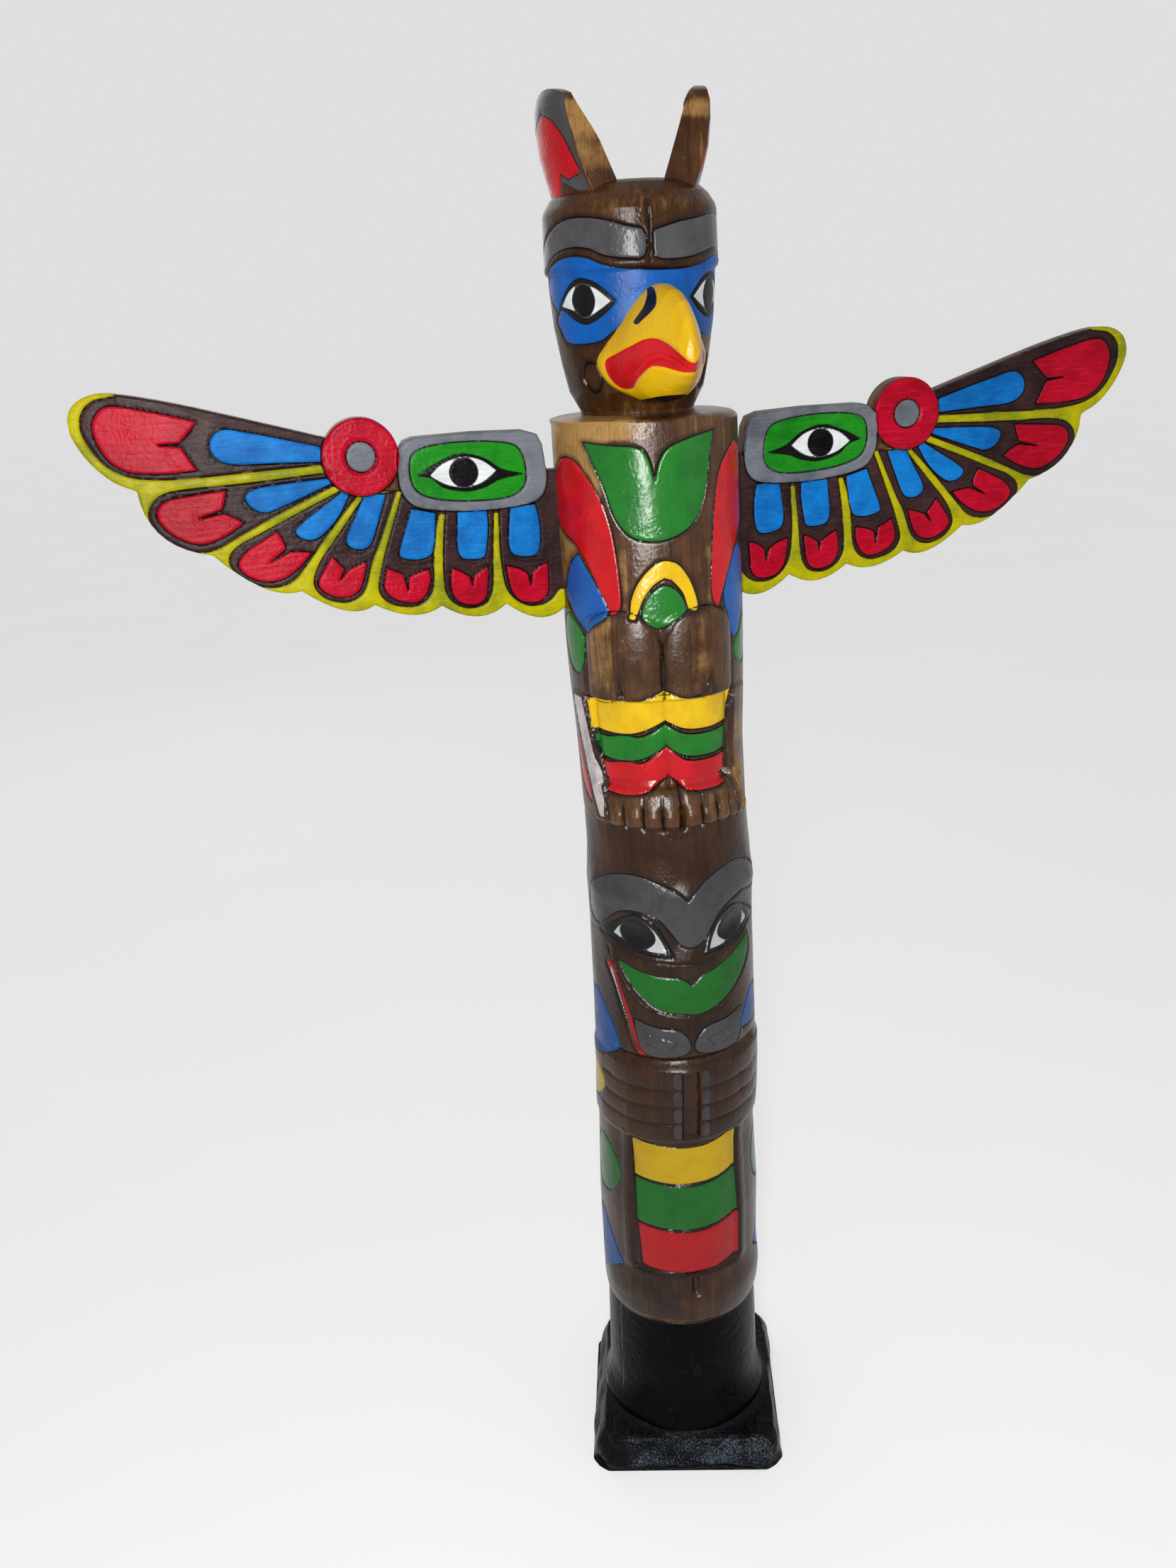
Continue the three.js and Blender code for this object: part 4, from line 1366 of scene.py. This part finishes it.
# %% Enamels
ENAMEL = {
    "red": (tone(205, 18, 30), tone(170, 12, 26)),
    "blue": (tone(6, 92, 178), tone(4, 76, 150)),
    "green": (tone(28, 120, 36), tone(20, 100, 30)),
    "yellow": (tone(232, 190, 6), tone(208, 164, 4)),
    "grey": (tone(84, 84, 88), tone(66, 64, 66)),
    "black": (tone(26, 26, 28), tone(18, 18, 20)),
    "white": (tone(226, 230, 232), tone(196, 202, 206)),
    "pupil": (tone(16, 16, 18), tone(30, 30, 34)),
    "nail": (tone(78, 72, 74), tone(54, 46, 46)),
    "pale_strip": (tone(214, 206, 208), tone(140, 128, 130)),
}
BOARD_ENAMEL = ENAMEL | {
    "red": (tone(186, 18, 46), tone(150, 12, 34)),
    "blue": (tone(24, 124, 206), tone(16, 90, 160)),
    "green": (tone(36, 136, 34), tone(24, 104, 28)),
    "yellow": (tone(186, 176, 14), tone(122, 130, 28)),
    "ground": (tone(66, 46, 46), tone(40, 28, 30)),
    "grey": (tone(116, 120, 128), tone(84, 88, 96)),
    "disc": (tone(112, 118, 124), tone(88, 94, 100)),
}
POOLED_STAIN = tone(34, 20, 11)
INSET = {"black": 0.1, "white": 0.0, "pupil": 0.0, "ground": 0.0}
print("enamels:", len(ENAMEL), "on the log,", len(BOARD_ENAMEL), "on the boards")


# %% Painted wood
def scaled(colour, share, lift=0.0):
    """A paint made paler or darker, no brighter than white."""
    return tuple(min(1, share * v + lift) for v in colour[:3]) + (1.0,)


def painted_wood(name, tones, enamel, along="Z", show_grain=0.0, bare=None, shine=0.2,
                 stain_and_shade_tones=None):
    """Stained wood, or a bare paint where given, under enamels that end on their outlines."""
    s = Shader(name)
    grain_place = s.place([0.05 if axis == along else 1 for axis in "XYZ"])
    plain = s.place()
    fibres = s.noise(grain_place, 1300, 5, 0.62, 0.4)
    bands = s.noise(grain_place, 170, 4, 0.6, 1.0)
    cloud = s.noise(s.place([0.4 if axis == along else 1 for axis in "XYZ"]), 15, 5, 0.6, 0.3)
    blot = s.noise(plain, 75, 4, 0.6)
    ripple = s.noise(plain, 430, 2, 0.45)
    swell = s.noise(plain, 90, 2, 0.5)
    groove = s.attribute("groove")
    if bare is None:
        # Where marked, a redder stain that also paints in shade, darker towards the bottom.
        if stain_and_shade_tones:
            stain_and_shade_depth = s.attribute("stain_and_shade_depth")
            tones = [s.mix(stain_and_shade_depth, a, b) for a, b in zip(tones, stain_and_shade_tones)]
        dark, middle, light = tones
        # Paler stain where marked: rubbed places, and painted light where the parts face the lamp.
        pale_patches = s.attribute("wear_and_light") * 1.25 - 0.2 + (blot - 0.5) * 1.3 + (bands - 0.5) * 1.0
        warm = (0.5 * cloud + 0.3 * bands + 0.2 * blot).step(0.38, 0.64)
        colour = s.mix(warm, dark, middle)
        colour = s.mix((0.6 * cloud + 0.4 * bands).step(0.56, 0.72) * 0.6, colour, light)
        colour = s.mix(pale_patches.step(0.05, 0.95), colour, light)
        colour = s.mix((1 - fibres.step(0.36, 0.52)) * 0.35, colour, POOLED_STAIN)
        pooled = (1 - (groove + (blot - 0.5) * 3.5).step(0.3, 4.0)) * 0.7
        colour = s.mix(pooled, colour, POOLED_STAIN)
    else:
        colour = s.mix(cloud.step(0.35, 0.68), bare[0], bare[1])
    paint = None
    for kind in PAINTS:
        if kind not in enamel:
            continue
        edge = s.attribute("paint_" + kind) + (blot - 0.5) * 0.5
        inset = INSET.get(kind, 0.4)
        mask = 1 - edge.step(-inset - 0.16, -inset + 0.16)
        fresh, worn_paint = enamel[kind]
        coat = s.mix((cloud * 0.6 + blot * 0.4).step(0.4, 0.64), fresh, worn_paint)
        if show_grain:
            coat = s.mix(fibres.step(0.52, 0.7) * show_grain, coat, scaled(fresh, 1.35, 0.025))
            coat = s.mix((1 - fibres.step(0.3, 0.46)) * show_grain, coat, scaled(worn_paint, 0.45))
        colour = s.mix(mask, colour, coat)
        if kind != "ground":
            paint = mask if paint is None else paint.most(mask)
        if kind == "blue":
            blue = mask
    line = 1 - (groove + (blot - 0.5) * 0.6).step(0.25, 0.75)
    colour = s.mix(line * 0.92, colour, tone(20, 12, 10))
    fine = ((fibres - 0.5) * (0.6 if show_grain else 0.2) * (1 - 0.5 * paint)
            + (ripple - 0.5) * (0.35 + 0.9 * swell.step(0.45, 0.65)) + (swell - 0.5) * 1.2)
    bump = s.node("ShaderNodeBump", None, {"Strength": 0.6, "Distance": 0.0006, "Height": fine})
    rough = 0.22 + 0.16 * (blot - 0.5) + 0.08 * fibres - 0.04 * paint + 0.16 * blue
    return s.surface(Base_Color=colour, Roughness=rough, Normal=bump, Specular_IOR_Level=shine)


# %% [markdown]
# The drum and the plinth are gloss black. The drum's coat is smooth with one pale
# drying crack; the plinth's is lumpier, with painted bluish glints on its front.
# One recipe makes both, with the size of the lumps and the shine given.

# %% Black gloss
def black_gloss(name, lumps, shine):
    s = Shader(name)
    plain = s.place()
    ripple = s.noise(plain, 190, 3, 0.5)
    blot = s.noise(plain, 45, 4, 0.6)
    scuff = s.noise(s.place(scale=(1, 1, 0.2)), 520, 5, 0.65, 0.5)
    pale_patches = (scuff * blot * 2).step(0.6, 0.86) * 0.4
    colour = s.mix(pale_patches, tone(14, 14, 17), tone(48, 46, 46))
    facets = s.noise(plain, 700, 3, 0.6)
    # Painted glints: bluish specks on the marked front face.
    glints = s.attribute("wear_and_light") * (facets + 0.5 * (blot - 0.5)).step(0.5, 0.66)
    colour = s.mix(glints, colour, tone(104, 118, 134))
    crack = 1 - (s.attribute("groove") + (blot - 0.5) * 0.6).step(0.3, 0.7)
    colour = s.mix(crack * 0.8, colour, tone(104, 98, 88))
    bump = s.node("ShaderNodeBump", None, {"Strength": 0.8, "Distance": lumps,
                                           "Height": ripple + 0.3 * scuff})
    return s.surface(Base_Color=colour, Roughness=0.16 + 0.2 * blot, Normal=bump,
                     Specular_IOR_Level=shine)


# %% [markdown]
# The head and the boards take the stain differently from the log. The lower
# figure's enamels are darkened, and its stain is redder and darker, to paint in the
# shade that grows towards the bottom of the pole. The boards were painted thinly,
# so their grain shows through.

# %% Mix the finishes
STAIN = (tone(52, 31, 17), tone(100, 65, 32), tone(168, 128, 74))
LOWER_STAIN_AND_SHADE = (tone(38, 22, 12), tone(68, 41, 22), tone(106, 70, 38))
HEAD_STAIN = (tone(44, 26, 15), tone(82, 52, 28), tone(150, 112, 66))
# Painted shade: the lower figure's enamels are darkened to 0.68 of the bird's.
SHADED_LOWER_ENAMEL = {kind: tuple(scaled(colour, 0.68) for colour in pair) for kind, pair in ENAMEL.items()}
BOARD_STAIN = (tone(74, 52, 36), tone(118, 88, 58), tone(160, 128, 90))
BEAK_YELLOW = (tone(226, 180, 4), tone(204, 156, 2))
log_finish = painted_wood("stained_log", STAIN, ENAMEL, shine=0.3, stain_and_shade_tones=LOWER_STAIN_AND_SHADE)
head_finish = painted_wood("stained_head", HEAD_STAIN, ENAMEL, shine=0.14)
lower_finish = painted_wood("stained_and_shaded_lower", STAIN, SHADED_LOWER_ENAMEL, shine=0.24, stain_and_shade_tones=LOWER_STAIN_AND_SHADE)
board_finish = painted_wood("painted_board", BOARD_STAIN, BOARD_ENAMEL, along="X", show_grain=0.26,
                            shine=0.04)
beak_finish = painted_wood("beak_enamel", None, ENAMEL, bare=BEAK_YELLOW)
gloss_finish = black_gloss("black_gloss", 0.0009, 0.04)
hewn_finish = black_gloss("black_hewn", 0.0022, 0.08)
print("materials:", [m.name for m in bpy.data.materials if m.use_nodes])

# %% [markdown]
# ## Hand the pieces over to the frame
# Each piece rides on the one body, stands for its CAD solid and takes its finish.

# %% Dress and attach
def attach(piece, node, finish, crease=50):
    piece.data.materials.clear()
    piece.data.materials.append(finish)
    piece.data.polygons.foreach_set("use_smooth", [True] * len(piece.data.polygons))
    piece.data.set_sharp_from_angle(angle=math.radians(crease))
    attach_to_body(piece, "root")
    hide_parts(node)


for piece, finish in ((head_piece, head_finish), (body_piece, log_finish),
                      (face_piece, lower_finish), (belly_piece, lower_finish),
                      (ears[0], head_finish), (ears[1], head_finish), (drum_piece, gloss_finish)):
    attach(piece, "carved_pole", finish)
attach(beak_piece, "beak", beak_finish, crease=80)
attach(wings[0], "left_wing", board_finish)
attach(wings[1], "right_wing", board_finish)
attach(plinth_piece, "plinth", hewn_finish, crease=70)
print("attached:", [piece.name for piece in pieces])

# %% [markdown]
# ## Floor and light
# A pale floor that runs out to the same pale grey as the surroundings. Two small
# lamps stand beside the camera, so the lumpy varnish shows small highlights on the
# parts that face it; three large soft lamps keep the sides, top and back open.

# %% Stage
FLOOR_RADIUS = 60
SKY = 0.74
FLOOR_SHADE = 0.35


def lay_floor():
    bm = bmesh.new()
    bmesh.ops.create_circle(bm, cap_ends=True, segments=96, radius=FLOOR_RADIUS)
    floor = new_piece("floor", bm)
    s = Shader("pale_floor")
    mottle = s.noise(s.place(), 3, 2)
    shade = s.mix(mottle, (FLOOR_SHADE,) * 3 + (1,), (FLOOR_SHADE - 0.02,) * 3 + (1,))
    glow = 0.95 * SKY * (1 - FLOOR_SHADE)
    floor.data.materials.append(s.surface(
        Base_Color=shade, Roughness=0.9, Specular_IOR_Level=0.1,
        Emission_Color=(glow, glow, glow, 1), Emission_Strength=1.0))


def lamp(name, place, aim, size, power, colour=(1, 1, 1)):
    data = bpy.data.lights.new(name, "AREA")
    data.shape = "RECTANGLE"
    data.size, data.size_y = size
    data.energy = power
    data.color = colour
    made = bpy.data.objects.new(name, data)
    made.location = place
    made.rotation_euler = (Vector(aim) - Vector(place)).to_track_quat("-Z", "Y").to_euler()
    bpy.context.collection.objects.link(made)


lay_floor()
lamp("key", (-0.31, -1.00, 0.98), (0, 0, 0.80), (0.11, 0.34), 13, (1.0, 0.985, 0.96))
lamp("key_low", (-0.36, -1.00, 0.66), (0, 0, 0.74), (0.09, 0.18), 5, (1.0, 0.985, 0.96))
lamp("fill", (1.6, -1.8, 1.3), (0, 0, 0.5), (1.4, 1.6), 3, (0.96, 0.98, 1.0))
lamp("top", (-0.4, -0.2, 2.8), (0, 0, 0.5), (1.6, 1.6), 3)
lamp("back", (-0.6, 2.2, 1.6), (0, 0, 0.5), (1.6, 1.6), 6)
world = bpy.data.worlds.new("studio")
world.use_nodes = True
sky = world.node_tree.nodes["Background"]
sky.inputs["Color"].default_value = (SKY, SKY, SKY, 1)
sky.inputs["Strength"].default_value = 1.0
bpy.context.scene.world = world
bpy.context.scene.view_settings.view_transform = "Standard"
